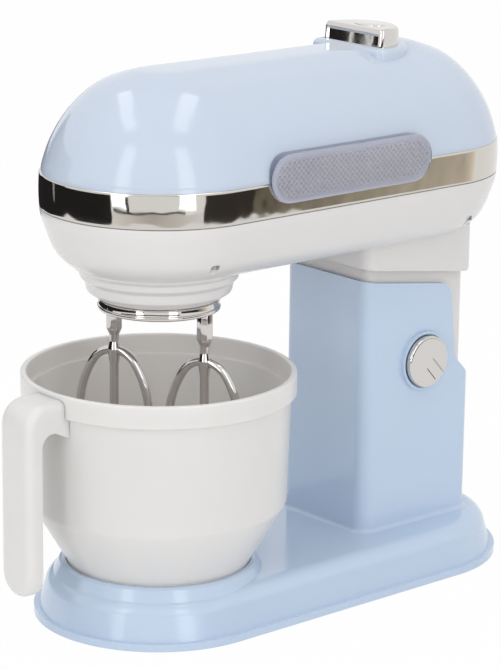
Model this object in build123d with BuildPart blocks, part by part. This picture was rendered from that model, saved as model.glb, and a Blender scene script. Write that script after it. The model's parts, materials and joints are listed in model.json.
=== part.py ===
"""Toy stand mixer: base, column, tilting head, planetary pair of beaters, bowl, knob and button.

Millimetres, +Z up. The origin is on the floor under the bowl's axis. The nose of the head points
to -Y, the column stands at +Y and the knob is on the +X side.
"""

from build123d import *
from math import asin, cos, degrees, pi, radians, sin, tan
import os

os.makedirs("parts", exist_ok=True)

# ---------------------------------------------------------------- clearances
TOUCH_GAP = 0.3  # between pieces of different bodies
SLIP = 0.4  # between a piece and the hollow it drops into
RUN = 0.05  # radial, between a shaft and its bearing

# ---------------------------------------------------------------- base and column
BASE_R = 64.2  # half width, and the radius of both round ends
BASE_LEN = 156.0  # between the centres of the round ends
BASE_H = 23.4
BASE_WALL = 2.4
FLANGE_H = 3.9
FLANGE_STEP = 1.6
BASE_LEAN = 6.3  # how far the side leans in over the height of the base
SHOULDER_R = 9.5

COLUMN_SETBACK = 42.8  # of its front, ahead of the centre of the base's rear end
COLUMN_W = 66.2
COLUMN_DEPTH = 79.3
COLUMN_CORNER = 8.0
COLUMN_WALL = 2.2
COLUMN_H = 137.9  # above the top of the base, at the front
COLUMN_ROOT = 2.4  # radius where the column meets the base
TOP_SLOPE = 8.5  # degrees, down to the back
CUT_CORNER = 9.0
CUT_TOP_BACK = 18.6  # from the column's back to the cut's upper end
CUT_KNEE_BACK = 13.6  # and to its knee
CUT_KNEE_H = 87.0  # the knee's height above the base
CUT_FOOT_H = 73.6  # where the cut reaches the back of the column

BOTTOM_T = 2.0
BOTTOM_FIT = 0.3
FOOT_R = 7.0
FOOT_T = 1.2
FOOT_INSET = 16.0
FOOT_Y = 24.0
SCREW_R = 1.5
SCREW_HEAD_R = 2.8
SCREW_HEAD_T = 1.6
POST_R = 4.0
GRILLE_HOLE_R = 1.2
GRILLE_PITCH = 5.0
GRILLE_COUNT = 5
SPEAKER_R = 20.0
SPEAKER_Y = 62.0
SPEAKER_H = 9.0

# ---------------------------------------------------------------- bowl and its seat
SEAT_R = 53.4
SEAT_TOP_R = 50.4
SEAT_H = 5.0
SEAT_FLOOR_T = 1.6
SEAT_SKIRT = 2.4
SEAT_SPIGOT_R = 39.0
SEAT_SPIGOT_T = 3.0

BOWL_R = 70.0
BOWL_H = 103.3
BOWL_WALL = 2.4
BAND_DEPTH = 12.0
BAND_STEP = 2.8  # how far the rim band stands out from the wall below it
BAND_WALL = 3.0
BOWL_DRAFT = 1.7  # how much narrower the wall is at its foot
BOWL_FOOT_R = 47.2
BOWL_FOOT_H = 4.0
BOWL_CHAMFER_TOP = 35.0  # height of the bend from the wall into the slanted part
BOWL_CHAMFER_R = 50.6
BOWL_CHAMFER_FOOT = 9.5

HANDLE_W = 24.0
HANDLE_REACH = 21.3  # from the bowl's rim to the outside of the grip
HANDLE_T = 8.6
HANDLE_DROP = 2.2  # from the rim down to the top of the handle
HANDLE_LEN = 100.0
HANDLE_BEND_R = 12.5
HANDLE_ARM_H = 15.6
HANDLE_WALL = 2.4
HANDLE_EDGE = 4.0  # rounding along the outside of the grip

# ---------------------------------------------------------------- head
HEAD_LIFT = 20.7  # from the column's upper front edge to the underside of the head
HEAD_R = 60.2
HEAD_SHORT = 2.0  # how much shorter than the base the head is
HEAD_WALL = 2.2
SHELL_R = 59.8
SHELL_H = 31.0
TRIM_H = 17.6
TRIM_T = 1.6
TRIM_FIT = 0.3
LIP_T = 2.2
LIP_H = 8.0
DOME_R = 59.0
DOME_H = 50.6
DOME_FULLNESS = 2.445  # exponents of the dome's curve, across and up
DOME_RISE = 1.46

COLLAR_TOP_R = 44.0
COLLAR_STEP_R = 38.2
COLLAR_BASE_R = 37.2
COLLAR_MOUTH_R = 31.4
COLLAR_STEP_DROP = 5.4
COLLAR_BASE_DROP = 11.2
COLLAR_DROP = 15.5
COLLAR_WALL = 1.6
COLLAR_HOLE_R = 41.4  # the hole in the lower shell above the collar
COLLAR_WELL_R = 29.8  # the hollow the beater sockets turn in
COLLAR_WELL_H = 8.8
COLLAR_FLOOR_T = 2.2
SHAFT_HUB_H = 3.0

SKIRT_SIDE = 4.5  # how far the skirt stands out from the column, each side
SKIRT_FRONT = 4.0
SKIRT_WALL = 2.2
SKIRT_CORNER = 8.0
SKIRT_DEPTH = 78.1
SKIRT_GAP = 7.6  # between the column's top edge and the skirt's lower edge
SKIRT_HEEL_R = 5.0

TOWER_CORNER = 6.0
TOWER_DEPTH = 71.6
TOWER_WALL = 2.2
TOWER_TOP_DROP = 12.0  # from the head's underside to the top of the tower
TOWER_BACK_DROP = 22.0
HINGE_IN = 54.8  # from the column's front back to the hinge
HINGE_DROP = 10.0
LUG_R = 8.0
LUG_T = 6.0
HINGE_BOSS_R = 6.0
HINGE_PIN_R = 2.5
WIRE_HOLE_W = 34.0
WIRE_HOLE_L = 24.0

HEAD_SCREW_ORBIT = 51.5  # from the centre of each round end
HEAD_SCREW_TURN = 8.0  # degrees past the sides, front and back
HEAD_SCREW_LIFT = 10.5  # of the screw head's seat above the head's underside
HEAD_SCREW_L = 28.0
RECESS_R = 2.6
RECESS_WALL = 1.6
DOME_POST_R = 3.8

# ---------------------------------------------------------------- lens and lights
LENS_AHEAD = 2.5  # of the lens, ahead of the middle of the head
LENS_LEN = 107.7
LENS_Z = 50.0  # centre above the head's underside
LENS_H = 24.5
LENS_CORNER = 12.2
LENS_PROUD = 2.6  # beyond the trim band
LENS_EDGE = 1.6
LENS_DEPTH = 12.0
PEG_R = 2.0
PEG_SPACING = 80.0
PEG_LIFT = 4.5  # above the lens centre
PEG_DEPTH = 15.8
LAMP_R = 2.5
LAMP_COUNT = 4
LAMP_PITCH = 18.0
LAMP_LEN = 5.0
LAMP_BOARD_T = 1.6
LAMP_BOARD_H = 12.0
LAMP_BOARD_LEN = 92.0

# ---------------------------------------------------------------- top button
BUTTON_SETBACK = 25.4  # of its flat front, ahead of the centre of the head's rear end
BUTTON_W = 44.6
BUTTON_LEN = 25.2
BUTTON_RISE = 9.3  # above the bezel
BUTTON_WALL = 1.8
BUTTON_EDGE = 1.6
BUTTON_TRAVEL = 2.5
BUTTON_FLANGE = 1.5
BUTTON_FLANGE_T = 1.8
BUTTON_SLEEVE_H = 14.0
BEZEL_RIM = 6.5
BEZEL_SLEEVE_T = 2.4
BEZEL_RISE = 0.4  # above the dome's crown
BEZEL_ROUND = 2.5  # of its upper edge
BUTTON_STEM_R = 3.0
SWITCH_W = 6.0
SWITCH_H = 4.3
BUTTON_BOARD_DROP = 24.0  # below the dome's crown
BUTTON_BOARD_L = 24.0
BUTTON_POST_R = 3.2
SWITCH_PLUNGER = 1.0
BOARD_T = 1.6
SPRING_R = 5.2
SPRING_WIRE_R = 0.45
SPRING_TURNS = 7

# ---------------------------------------------------------------- drive
CARRIER_R = 29.5
CARRIER_T = 4.8
RING_R = 31.2
RING_WAIST_R = 30.0
RING_LIP_R = 30.7
RING_LIP_T = 0.6
RING_H = 5.8
ORBIT_R = 25.5
ORBIT_ANGLE = 24.3  # degrees, of the line through both beaters
SOCKET_R = 3.5
SOCKET_H = 8.0
SOCKET_TOP = 1.2
HUB_R = 6.0
SHAFT_R = 3.0
BUSH_R = 5.0
BUSH_FLANGE_R = 7.0
BUSH_FLANGE_T = 1.0
PLATE_LIFT = 6.0  # of the gearbox plate above the head's underside
PLATE_T = 2.5
PLATE_R = 40.0
PLATE_LEN = 34.0
LID_R = 38.5
GEAR_MODULE = 1.6
GEAR_TEETH = 36
PINION_TEETH = 9
GEAR_T = 5.0
GEAR_LIFT = 2.4  # of the gear above the plate
LID_LIFT = 12.6
LID_T = 2.4
PLATE_POST_R = 3.2
PLATE_SCREW_L = 21.5
MOTOR_R = 12.0
MOTOR_H = 27.0
MOTOR_NECK_R = 4.0
MOTOR_NECK_H = 1.6
MOTOR_SHAFT_R = 1.0
CLIP_R = 4.6
CLIP_T = 1.0

BEATER_SLEEVE_R = 4.3
BEATER_SLEEVE_L = 14.8
BEATER_SHANK_R = 2.3
BEATER_SHANK_L = 11.4  # above the sleeve
BEATER_SHANK_SET = 6.0  # how deep the steel shank sits in the sleeve
BEATER_NECK_R = 2.3
BEATER_CONE_L = 2.6
BEATER_NECK_L = 6.4
BEATER_HOOP_W = 44.0
BEATER_HOOP_H = 71.0
BEATER_WIRE_W = 3.8
BEATER_WIRE_T = 3.4

# ---------------------------------------------------------------- knob and electrics
KNOB_IN = 41.1  # from the column's front back to the knob's axis
KNOB_H = 89.6  # of its axis above the top of the base
KNOB_R = 14.1
KNOB_T = 4.4
KNOB_EDGE = 1.4
KNOB_SHAFT_R = 3.0
KNOB_BEZEL_R = 16.0
KNOB_BEZEL_T = 2.2
KNOB_BEZEL_RIM = 1.5
POINTER_ANGLE = -48.0  # degrees from +Y, seen from +X
POINTER_LEN = 9.6
POINTER_W = 0.9
POINTER_DEPTH = 0.5
NOTCH_W = 7.2
NOTCH_IN = 2.4  # from the knob's axis to the centre of the notch's round end
NOTCH_DEPTH = 1.1
SWITCH_BODY_W = 16.0
SWITCH_BODY_T = 9.0
MAIN_BOARD_W = 34.0
MAIN_BOARD_H = 46.0
MAIN_BOARD_IN = 10.5  # board face in from the tower's inner wall
CELL_R = 7.25
CELL_L = 50.5
CELL_PITCH = 15.2
CELL_COUNT = 3
CELL_END = 3.0  # room for the contacts at each end
TRAY_WALL = 2.0
TRAY_Z = 27.0
TRAY_LEDGE = 5.5
DOOR_MARGIN = 1.6
DOOR_FIT = 0.3
DOOR_T = 2.2
DOOR_SCREW_L = 9.0

# ---------------------------------------------------------------- shared places
COLUMN_FRONT = BASE_LEN - COLUMN_SETBACK
COLUMN_Y = COLUMN_FRONT + COLUMN_DEPTH / 2
COLUMN_BACK = COLUMN_FRONT + COLUMN_DEPTH
COLUMN_TOP = BASE_H + COLUMN_H
HEAD_FLOOR_Z = COLUMN_TOP + HEAD_LIFT
HEAD_LEN = BASE_LEN - HEAD_SHORT
HINGE_Y = COLUMN_FRONT + HINGE_IN
KNOB_Y = COLUMN_FRONT + KNOB_IN
KNOB_Z = BASE_H + KNOB_H
LENS_Y = HEAD_LEN / 2 - LENS_AHEAD
BUTTON_FRONT = HEAD_LEN - BUTTON_SETBACK
INNER_W = COLUMN_W - 2 * COLUMN_WALL
TOWER_W = INNER_W - 2 * SLIP
TOWER_FRONT = COLUMN_FRONT + COLUMN_WALL + SLIP
TOWER_Y = TOWER_FRONT + TOWER_DEPTH / 2
TOWER_BACK = TOWER_FRONT + TOWER_DEPTH
TOWER_TOP = HEAD_FLOOR_Z - TOWER_TOP_DROP
HINGE_Z = HEAD_FLOOR_Z - HINGE_DROP
TRIM_Z = HEAD_FLOOR_Z + SHELL_H
DOME_Z = TRIM_Z + TRIM_H
DOME_TOP = DOME_Z + DOME_H
BASE_IN_R = BASE_R - FLANGE_STEP - BASE_WALL
BOTTOM_R = BASE_IN_R - BOTTOM_FIT
SEAT_FLOOR = BASE_H + SEAT_FLOOR_T
BOWL_TOP = SEAT_FLOOR + BOWL_H
SKIRT_W = COLUMN_W + 2 * SKIRT_SIDE
SKIRT_Y0 = COLUMN_FRONT - SKIRT_FRONT
SKIRT_Y = SKIRT_Y0 + SKIRT_DEPTH / 2
LENS_FACE = HEAD_R + LENS_PROUD
BEZEL_TOP = DOME_TOP + BEZEL_RISE
RIM_Z = HEAD_FLOOR_Z - COLLAR_DROP
RING_TOP = RIM_Z - TOUCH_GAP
CARRIER_Z = RING_TOP - CARRIER_T
PLATE_Z = HEAD_FLOOR_Z + PLATE_LIFT
PLATE_TOP = PLATE_Z + PLATE_T
GEAR_Z = PLATE_TOP + GEAR_LIFT
LID_Z = PLATE_TOP + LID_LIFT
GEAR_PITCH_R = GEAR_MODULE * GEAR_TEETH / 2
PINION_PITCH_R = GEAR_MODULE * PINION_TEETH / 2
MOTOR_Y = GEAR_PITCH_R + PINION_PITCH_R
SEAT_HOLE_R = SEAT_SPIGOT_R + SLIP
LIP_R = HEAD_R - TRIM_T - TRIM_FIT

BACKWARD = Axis((0, 0, 0), (0, 0, -1))


def tail_axis(length):
    """The upright axis of the round end that lies length behind the front one."""
    return Axis((0, length, 0), (0, 0, 1))


def stadium_body(half_profile, length):
    """Run a half profile, drawn on XZ at x >= 0, once round a stadium of the given length."""
    with BuildPart(mode=Mode.PRIVATE) as body:
        with BuildSketch(Plane.XZ):
            add(half_profile)
            mirror(about=Plane.YZ)
        extrude(amount=-length)
        with BuildSketch(Plane.XZ):
            add(half_profile)
        revolve(axis=BACKWARD, revolution_arc=180)
        with BuildSketch(Plane.XZ.offset(-length)):
            add(half_profile)
        revolve(axis=tail_axis(length), revolution_arc=180)
    return body.part


def ring_profile(inner, outer, low, high):
    """Half profile of a stadium ring between two half widths and two heights."""
    with BuildSketch(mode=Mode.PRIVATE) as profile:
        with BuildLine():
            Polyline((inner, low), (outer, low), (outer, high), (inner, high), close=True)
        make_face()
    return profile.sketch


def dome_profile(radius, low, height):
    """Half profile of the filled dome: a quarter of a superellipse over its straight foot."""
    steps = [i * pi / 16 for i in range(9)]
    curve = [
        (radius * max(cos(t), 0) ** (2 / DOME_FULLNESS), low + height * sin(t) ** (2 / DOME_RISE))
        for t in steps
    ]
    with BuildSketch(mode=Mode.PRIVATE) as profile:
        with BuildLine():
            Spline(*curve, tangents=[(0, 1), (-1, 0)])
            Polyline((0, low + height), (0, low), (radius, low))
        make_face()
    return profile.sketch


def shell_profile(radius, top, depth):
    """Half profile of the filled lower shell, from its rim down to its flat underside."""
    fractions = ((1.0, 0.0), (0.968, 0.27), (0.9, 0.62), (0.845, 0.78), (0.77, 0.905))
    flat = (0.58 * radius, top - depth)
    curve = [(radius * across, top - depth * down) for across, down in fractions]
    with BuildSketch(mode=Mode.PRIVATE) as profile:
        with BuildLine():
            Spline(*curve, flat, tangents=[(0, -1), (-1, 0)])
            Polyline(flat, (0, top - depth), (0, top), (radius, top))
        make_face()
    return profile.sketch


def base_profile(inset):
    """Half profile of the filled base above its flange, drawn in by inset."""
    foot = BASE_R - FLANGE_STEP - inset
    with BuildSketch(mode=Mode.PRIVATE) as profile:
        with BuildLine():
            FilletPolyline(
                (foot, 0),
                (foot - BASE_LEAN, BASE_H - inset),
                (0, BASE_H - inset),
                radius=SHOULDER_R - inset,
            )
            Polyline((0, BASE_H - inset), (0, 0), (foot, 0))
        make_face()
    return profile.sketch


def d_outline(grow):
    """Outline of the top button, flat in front and round behind, grown by a margin."""
    half = BUTTON_W / 2 + grow
    front = BUTTON_FRONT - grow
    shoulder = BUTTON_FRONT + BUTTON_LEN - BUTTON_W / 2
    with BuildSketch(mode=Mode.PRIVATE) as outline:
        with BuildLine():
            Polyline((-half, shoulder), (-half, front), (half, front), (half, shoulder))
            ThreePointArc((half, shoulder), (0, shoulder + half), (-half, shoulder))
        make_face()
        corners = outline.vertices().group_by(Axis.Y)[0]
        fillet(corners, 1.2 + grow / 2)
    return outline.sketch


def gear_outline(teeth, turn):
    """Straight flanked gear teeth on a pitch circle, the first tooth at turn degrees."""
    pitch = GEAR_MODULE * teeth / 2
    root = pitch - 1.15 * GEAR_MODULE
    tip = pitch + 0.7 * GEAR_MODULE
    step = 360 / teeth
    points = []
    for i in range(teeth):
        middle = turn + i * step
        for radius, part in ((root, -0.32), (tip, -0.12), (tip, 0.12), (root, 0.32)):
            angle = radians(middle + part * step)
            points.append((radius * cos(angle), radius * sin(angle)))
    with BuildSketch(mode=Mode.PRIVATE) as outline:
        with BuildLine():
            Polyline(*points, close=True)
        make_face()
    return outline.sketch


def finish(part, name):
    """Label a finished piece and write it to its own file."""
    part.label = name
    export_step(part, f"parts/{name}.step")


def side_spots(x, ys):
    """Mirrored pairs of spots at half width x, one pair for each y."""
    return [(side * x, y) for side in (-1, 1) for y in ys]


# ================================================================ base body
dome_solid = stadium_body(dome_profile(DOME_R, DOME_Z, DOME_H), HEAD_LEN)
shell_screw_spots = side_spots(BOTTOM_R - FOOT_INSET, (0, BASE_LEN / 2, BASE_LEN))
tray_w = CELL_PITCH * (CELL_COUNT - 1) + 2 * CELL_R + 2 * TRAY_WALL + 2 * SLIP
tray_h = CELL_L + 2 * CELL_END + 2 * TRAY_WALL + TRAY_LEDGE
door_w = tray_w
door_h = tray_h
door_z = TRAY_Z + tray_h / 2
door_inner_y = COLUMN_BACK - DOOR_T
door_screw_z = TRAY_Z + tray_h - TRAY_LEDGE / 2
tray_back = door_inner_y - TOUCH_GAP
tray_flange_t = tray_back - TOWER_BACK

with BuildPart() as body_shell:
    add(stadium_body(base_profile(0), BASE_LEN))
    add(stadium_body(ring_profile(0, BASE_R, 0, FLANGE_H), BASE_LEN))
    with BuildSketch(Plane.XY.offset(BASE_H)):
        with Locations((0, COLUMN_Y)):
            RectangleRounded(COLUMN_W, COLUMN_DEPTH, COLUMN_CORNER)
    extrude(amount=COLUMN_H + 1)
    root_edges = body_shell.edges().filter_by_position(Axis.Z, BASE_H - 0.01, BASE_H + 0.01)
    column_root = root_edges.filter_by_position(Axis.Y, COLUMN_FRONT - 1, COLUMN_BACK + 1)
    fillet(column_root.filter_by_position(Axis.X, -COLUMN_W / 2 - 1, COLUMN_W / 2 + 1), COLUMN_ROOT)
    # Hollow of the base, then of the column above it.
    add(stadium_body(base_profile(BASE_WALL), BASE_LEN), mode=Mode.SUBTRACT)
    add(stadium_body(ring_profile(0, BASE_IN_R, 0, BOTTOM_T), BASE_LEN), mode=Mode.SUBTRACT)
    with BuildSketch(Plane.XY.offset(BASE_H - 2 * BASE_WALL)):
        with Locations((0, COLUMN_Y)):
            RectangleRounded(INNER_W, COLUMN_DEPTH - 2 * COLUMN_WALL, COLUMN_CORNER - COLUMN_WALL)
    extrude(amount=COLUMN_H + 4 * BASE_WALL, mode=Mode.SUBTRACT)
    # The sloping top edge and the curved opening down the back of the column.
    top_drop = (COLUMN_DEPTH - CUT_TOP_BACK) * tan(radians(TOP_SLOPE))
    with BuildSketch(Plane.YZ):
        with BuildLine():
            cut_edge = FilletPolyline(
                (COLUMN_FRONT - 40, COLUMN_TOP + 40 * tan(radians(TOP_SLOPE))),
                (COLUMN_BACK - CUT_TOP_BACK, COLUMN_TOP - top_drop),
                (COLUMN_BACK - CUT_KNEE_BACK, BASE_H + CUT_KNEE_H),
                (COLUMN_BACK, BASE_H + CUT_FOOT_H),
                radius=CUT_CORNER,
            )
            Polyline(
                cut_edge @ 1,
                (COLUMN_BACK + 40, BASE_H + CUT_FOOT_H),
                (COLUMN_BACK + 40, COLUMN_TOP + 40),
                (COLUMN_FRONT - 40, COLUMN_TOP + 40),
                cut_edge @ 0,
            )
        make_face()
    extrude(amount=COLUMN_W, both=True, mode=Mode.SUBTRACT)
    # Opening for the battery door.
    with BuildSketch(Plane.XZ.offset(-COLUMN_BACK - 1)):
        with Locations((0, door_z)):
            RectangleRounded(door_w + 2 * DOOR_FIT, door_h + 2 * DOOR_FIT, 3)
    extrude(amount=COLUMN_WALL + 2, mode=Mode.SUBTRACT)
    # Knob spindle hole and bowl seat hole.
    with BuildSketch(Plane.YZ.offset(INNER_W / 2 - 1)):
        with Locations((KNOB_Y, KNOB_Z)):
            Circle(KNOB_BEZEL_R - 2 * KNOB_BEZEL_RIM)
    extrude(amount=COLUMN_WALL + 2, mode=Mode.SUBTRACT)
    with BuildSketch(Plane.XY.offset(BASE_H - BASE_WALL - 1)):
        Circle(SEAT_HOLE_R)
    extrude(amount=BASE_WALL + 2, mode=Mode.SUBTRACT)
    # Screw posts under the top of the base.
    with BuildSketch(Plane.XY.offset(BOTTOM_T)):
        with Locations(*shell_screw_spots):
            Circle(POST_R)
    extrude(amount=BASE_H - BOTTOM_T - BASE_WALL / 2)
    with BuildSketch(Plane.XY.offset(BOTTOM_T)):
        with Locations(*shell_screw_spots):
            Circle(SCREW_R)
    extrude(amount=BASE_H - BOTTOM_T - 2 * BASE_WALL, mode=Mode.SUBTRACT)
finish(body_shell.part, "body_shell")

foot_spots = side_spots(BOTTOM_R - FOOT_INSET, (FOOT_Y, BASE_LEN - FOOT_Y))
corner_inset = TOWER_WALL + POST_R
tower_screw_ys = (TOWER_FRONT + corner_inset, TOWER_BACK - corner_inset)
tower_screw_spots = side_spots(TOWER_W / 2 - corner_inset, tower_screw_ys)
base_screw_spots = shell_screw_spots + tower_screw_spots
with BuildPart() as bottom_plate:
    add(stadium_body(ring_profile(0, BOTTOM_R, 0, BOTTOM_T), BASE_LEN))
    with BuildSketch():
        with Locations(*foot_spots):
            Circle(FOOT_R)
    extrude(amount=FOOT_T, mode=Mode.SUBTRACT)
    with Locations(*[(x, y, 0) for x, y in base_screw_spots]):
        with Locations(Location((0, 0, 0), (180, 0, 0))):
            CounterSinkHole(SCREW_R + 0.1, SCREW_HEAD_R + 0.1)
    with BuildSketch():
        with Locations((0, SPEAKER_Y)):
            with GridLocations(GRILLE_PITCH, GRILLE_PITCH, GRILLE_COUNT, GRILLE_COUNT):
                Circle(GRILLE_HOLE_R)
    extrude(amount=BOTTOM_T, mode=Mode.SUBTRACT)
finish(bottom_plate.part, "bottom_plate")

with BuildPart() as rubber_feet:
    with BuildSketch():
        with Locations(*foot_spots):
            Circle(FOOT_R)
    extrude(amount=FOOT_T)
finish(rubber_feet.part, "rubber_feet")

with BuildPart() as base_screws:
    for x, y in base_screw_spots:
        with BuildSketch(Plane((x, y, 0), x_dir=(1, 0, 0), z_dir=(0, -1, 0))):
            with BuildLine():
                Polyline(
                    (0, 0),
                    (SCREW_HEAD_R, 0),
                    (SCREW_R, SCREW_HEAD_T),
                    (SCREW_R, BASE_H - 3 * BASE_WALL),
                    (0, BASE_H - 3 * BASE_WALL),
                    close=True,
                )
            make_face()
        revolve(axis=Axis((x, y, 0), (0, 0, 1)))
finish(base_screws.part, "base_screws")

with BuildPart() as speaker:
    with BuildSketch(Plane.XZ.offset(-SPEAKER_Y)):
        with BuildLine():
            Polyline(
                (0, BOTTOM_T),
                (SPEAKER_R, BOTTOM_T),
                (SPEAKER_R, BOTTOM_T + 1.5),
                (SPEAKER_R * 0.9, BOTTOM_T + 1.5),
                (SPEAKER_R * 0.5, BOTTOM_T + SPEAKER_H * 0.6),
                (SPEAKER_R * 0.5, BOTTOM_T + SPEAKER_H),
                (0, BOTTOM_T + SPEAKER_H),
                close=True,
            )
        make_face()
    revolve(axis=Axis((0, SPEAKER_Y, 0), (0, 0, 1)))
finish(speaker.part, "speaker")

# The seat ring that the bowl's foot stands in; its skirt follows the rounded shoulder of the base.
with BuildPart() as bowl_seat:
    with BuildSketch(Plane.XZ):
        with BuildLine():
            Polyline(
                (0, BASE_H - SEAT_SKIRT),
                (SEAT_R + SEAT_SKIRT / 2, BASE_H - SEAT_SKIRT),
                (SEAT_TOP_R + 0.6, BASE_H + SEAT_H - 0.9),
                (SEAT_TOP_R - 0.6, BASE_H + SEAT_H),
                (BOWL_FOOT_R + 2 * SLIP, BASE_H + SEAT_H),
                (BOWL_FOOT_R + SLIP, BASE_H + SEAT_H - SLIP),
                (BOWL_FOOT_R + SLIP, SEAT_FLOOR),
                (0, SEAT_FLOOR),
                close=True,
            )
        make_face()
    revolve(axis=Axis.Z)
    add(stadium_body(base_profile(0), BASE_LEN), mode=Mode.SUBTRACT)
    with BuildSketch(Plane.XY.offset(BASE_H - BASE_WALL)):
        Circle(SEAT_SPIGOT_R)
        Circle(SEAT_SPIGOT_R - SEAT_SPIGOT_T, mode=Mode.SUBTRACT)
    extrude(amount=BASE_WALL)
finish(bowl_seat.part, "bowl_seat")

# Inner tower: carries the hinge, the switch and the battery tray.
rear_slope = [
    (HINGE_Y + LUG_R, TOWER_TOP),
    (TOWER_BACK, HEAD_FLOOR_Z - TOWER_BACK_DROP),
    (TOWER_BACK + 5, HEAD_FLOOR_Z - TOWER_BACK_DROP),
    (TOWER_BACK + 5, TOWER_TOP + 5),
    (HINGE_Y + LUG_R, TOWER_TOP + 5),
]
lug_out = TOWER_W / 2
board_x = TOWER_W / 2 - TOWER_WALL - MAIN_BOARD_IN
board_y = KNOB_Y - 3
with BuildPart() as tower:
    with BuildSketch(Plane.XY.offset(BOTTOM_T)):
        with Locations((0, TOWER_Y)):
            RectangleRounded(TOWER_W, TOWER_DEPTH, TOWER_CORNER)
    extrude(amount=TOWER_TOP - BOTTOM_T)
    with BuildSketch(Plane.XY.offset(BOTTOM_T)):
        with Locations((0, TOWER_Y)):
            RectangleRounded(
                TOWER_W - 2 * TOWER_WALL,
                TOWER_DEPTH - 2 * TOWER_WALL,
                TOWER_CORNER - TOWER_WALL,
            )
    extrude(amount=TOWER_TOP - BOTTOM_T, mode=Mode.SUBTRACT)
    with BuildSketch(Plane.YZ):
        with BuildLine():
            Polyline(*rear_slope, close=True)
        make_face()
    extrude(amount=TOWER_W, both=True, mode=Mode.SUBTRACT)
    for side in (-1, 1):
        with BuildSketch(Plane.YZ.offset(side * lug_out)):
            with Locations((HINGE_Y, HINGE_Z)):
                Circle(LUG_R)
        extrude(amount=-side * LUG_T)
        with BuildSketch(Plane.YZ.offset(side * lug_out)):
            with Locations((HINGE_Y, HINGE_Z)):
                Circle(HINGE_PIN_R)
        extrude(amount=-side * LUG_T, mode=Mode.SUBTRACT)
    # Opening for the battery tray and hole for the knob's spindle.
    with BuildSketch(Plane.XZ.offset(-TOWER_BACK - 1)):
        with Locations((0, door_z)):
            Rectangle(tray_w - 2 * SLIP, tray_h - 2 * SLIP)
    extrude(amount=TOWER_WALL + 2, mode=Mode.SUBTRACT)
    with BuildSketch(Plane.YZ.offset(TOWER_W / 2 - TOWER_WALL - 1)):
        with Locations((KNOB_Y, KNOB_Z)):
            Circle(KNOB_SHAFT_R + 1)
    extrude(amount=TOWER_WALL + 2, mode=Mode.SUBTRACT)
    with BuildSketch(Plane.YZ.offset(board_x)):
        with Locations((board_y, KNOB_Z)):
            with GridLocations(MAIN_BOARD_W - 8, MAIN_BOARD_H - 8, 2, 2):
                Circle(2.2)
    extrude(amount=MAIN_BOARD_IN + TOWER_WALL / 2)
    # Screw posts in the corners of its foot.
    with BuildSketch(Plane.XY.offset(BOTTOM_T)):
        with Locations(*tower_screw_spots):
            Circle(POST_R + 0.6)
    extrude(amount=BASE_H - 2 * BASE_WALL - BOTTOM_T)
    with BuildSketch(Plane.XY.offset(BOTTOM_T)):
        with Locations(*tower_screw_spots):
            Circle(SCREW_R)
    extrude(amount=BASE_H - 3 * BASE_WALL - BOTTOM_T, mode=Mode.SUBTRACT)
finish(tower.part, "tower")

with BuildPart() as hinge_pin:
    with BuildSketch(Plane.YZ.offset(-SKIRT_W / 2 + SKIRT_WALL / 2)):
        with Locations((HINGE_Y, HINGE_Z)):
            Circle(HINGE_PIN_R)
    extrude(amount=SKIRT_W - SKIRT_WALL)
finish(hinge_pin.part, "hinge_pin")

tray_depth = 2 * CELL_R + TRAY_WALL + 2 * SLIP
tray_front = TOWER_BACK - tray_depth
with BuildPart() as battery_tray:
    with BuildSketch(Plane.XZ.offset(-tray_front)):
        with Locations((0, door_z)):
            Rectangle(tray_w - 2 * SLIP, tray_h - 2 * SLIP)
    extrude(amount=-(tray_back - tray_front))
    with BuildSketch(Plane.XZ.offset(-TOWER_BACK)):
        with Locations((0, door_z)):
            Rectangle(tray_w + 4, tray_h + 4)
    extrude(amount=-tray_flange_t)
    with BuildSketch(Plane.XZ.offset(-tray_front - TRAY_WALL)):
        with Locations((0, door_z - TRAY_LEDGE / 2)):
            Rectangle(tray_w - 2 * SLIP - 2 * TRAY_WALL, tray_h - 2 * SLIP - 2 * TRAY_WALL - TRAY_LEDGE)
    extrude(amount=-(tray_back - tray_front), mode=Mode.SUBTRACT)
    with BuildSketch(Plane.XZ.offset(-tray_back)):
        with Locations((0, door_screw_z)):
            Circle(SCREW_R + RUN)
    extrude(amount=DOOR_SCREW_L, mode=Mode.SUBTRACT)
finish(battery_tray.part, "battery_tray")

cell_y = tray_front + TRAY_WALL + SLIP + CELL_R
cell_z = TRAY_Z + SLIP + TRAY_WALL + CELL_END
cell_spots = [(CELL_PITCH * (i - (CELL_COUNT - 1) / 2), cell_y) for i in range(CELL_COUNT)]
with BuildPart() as batteries:
    with BuildSketch(Plane.XY.offset(cell_z)):
        with Locations(*cell_spots):
            Circle(CELL_R)
    extrude(amount=CELL_L - 1.5)
    with BuildSketch(Plane.XY.offset(cell_z + CELL_L - 1.5)):
        with Locations(*cell_spots):
            Circle(2.7)
    extrude(amount=1.5)
finish(batteries.part, "batteries")

with BuildPart() as battery_contacts:
    with Locations(*[(x, y, cell_z - CELL_END / 2) for x, y in cell_spots]):
        Cone(CELL_R - 2, 2.5, CELL_END)
    with BuildSketch(Plane.XY.offset(cell_z + CELL_L)):
        with Locations(*cell_spots):
            Rectangle(9, 9)
    extrude(amount=CELL_END - 2 * SLIP)
finish(battery_contacts.part, "battery_contacts")

with BuildPart() as main_board:
    with BuildSketch(Plane.YZ.offset(board_x)):
        with Locations((board_y, KNOB_Z)):
            Rectangle(MAIN_BOARD_W, MAIN_BOARD_H)
    extrude(amount=-BOARD_T)
finish(main_board.part, "main_board")

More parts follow.
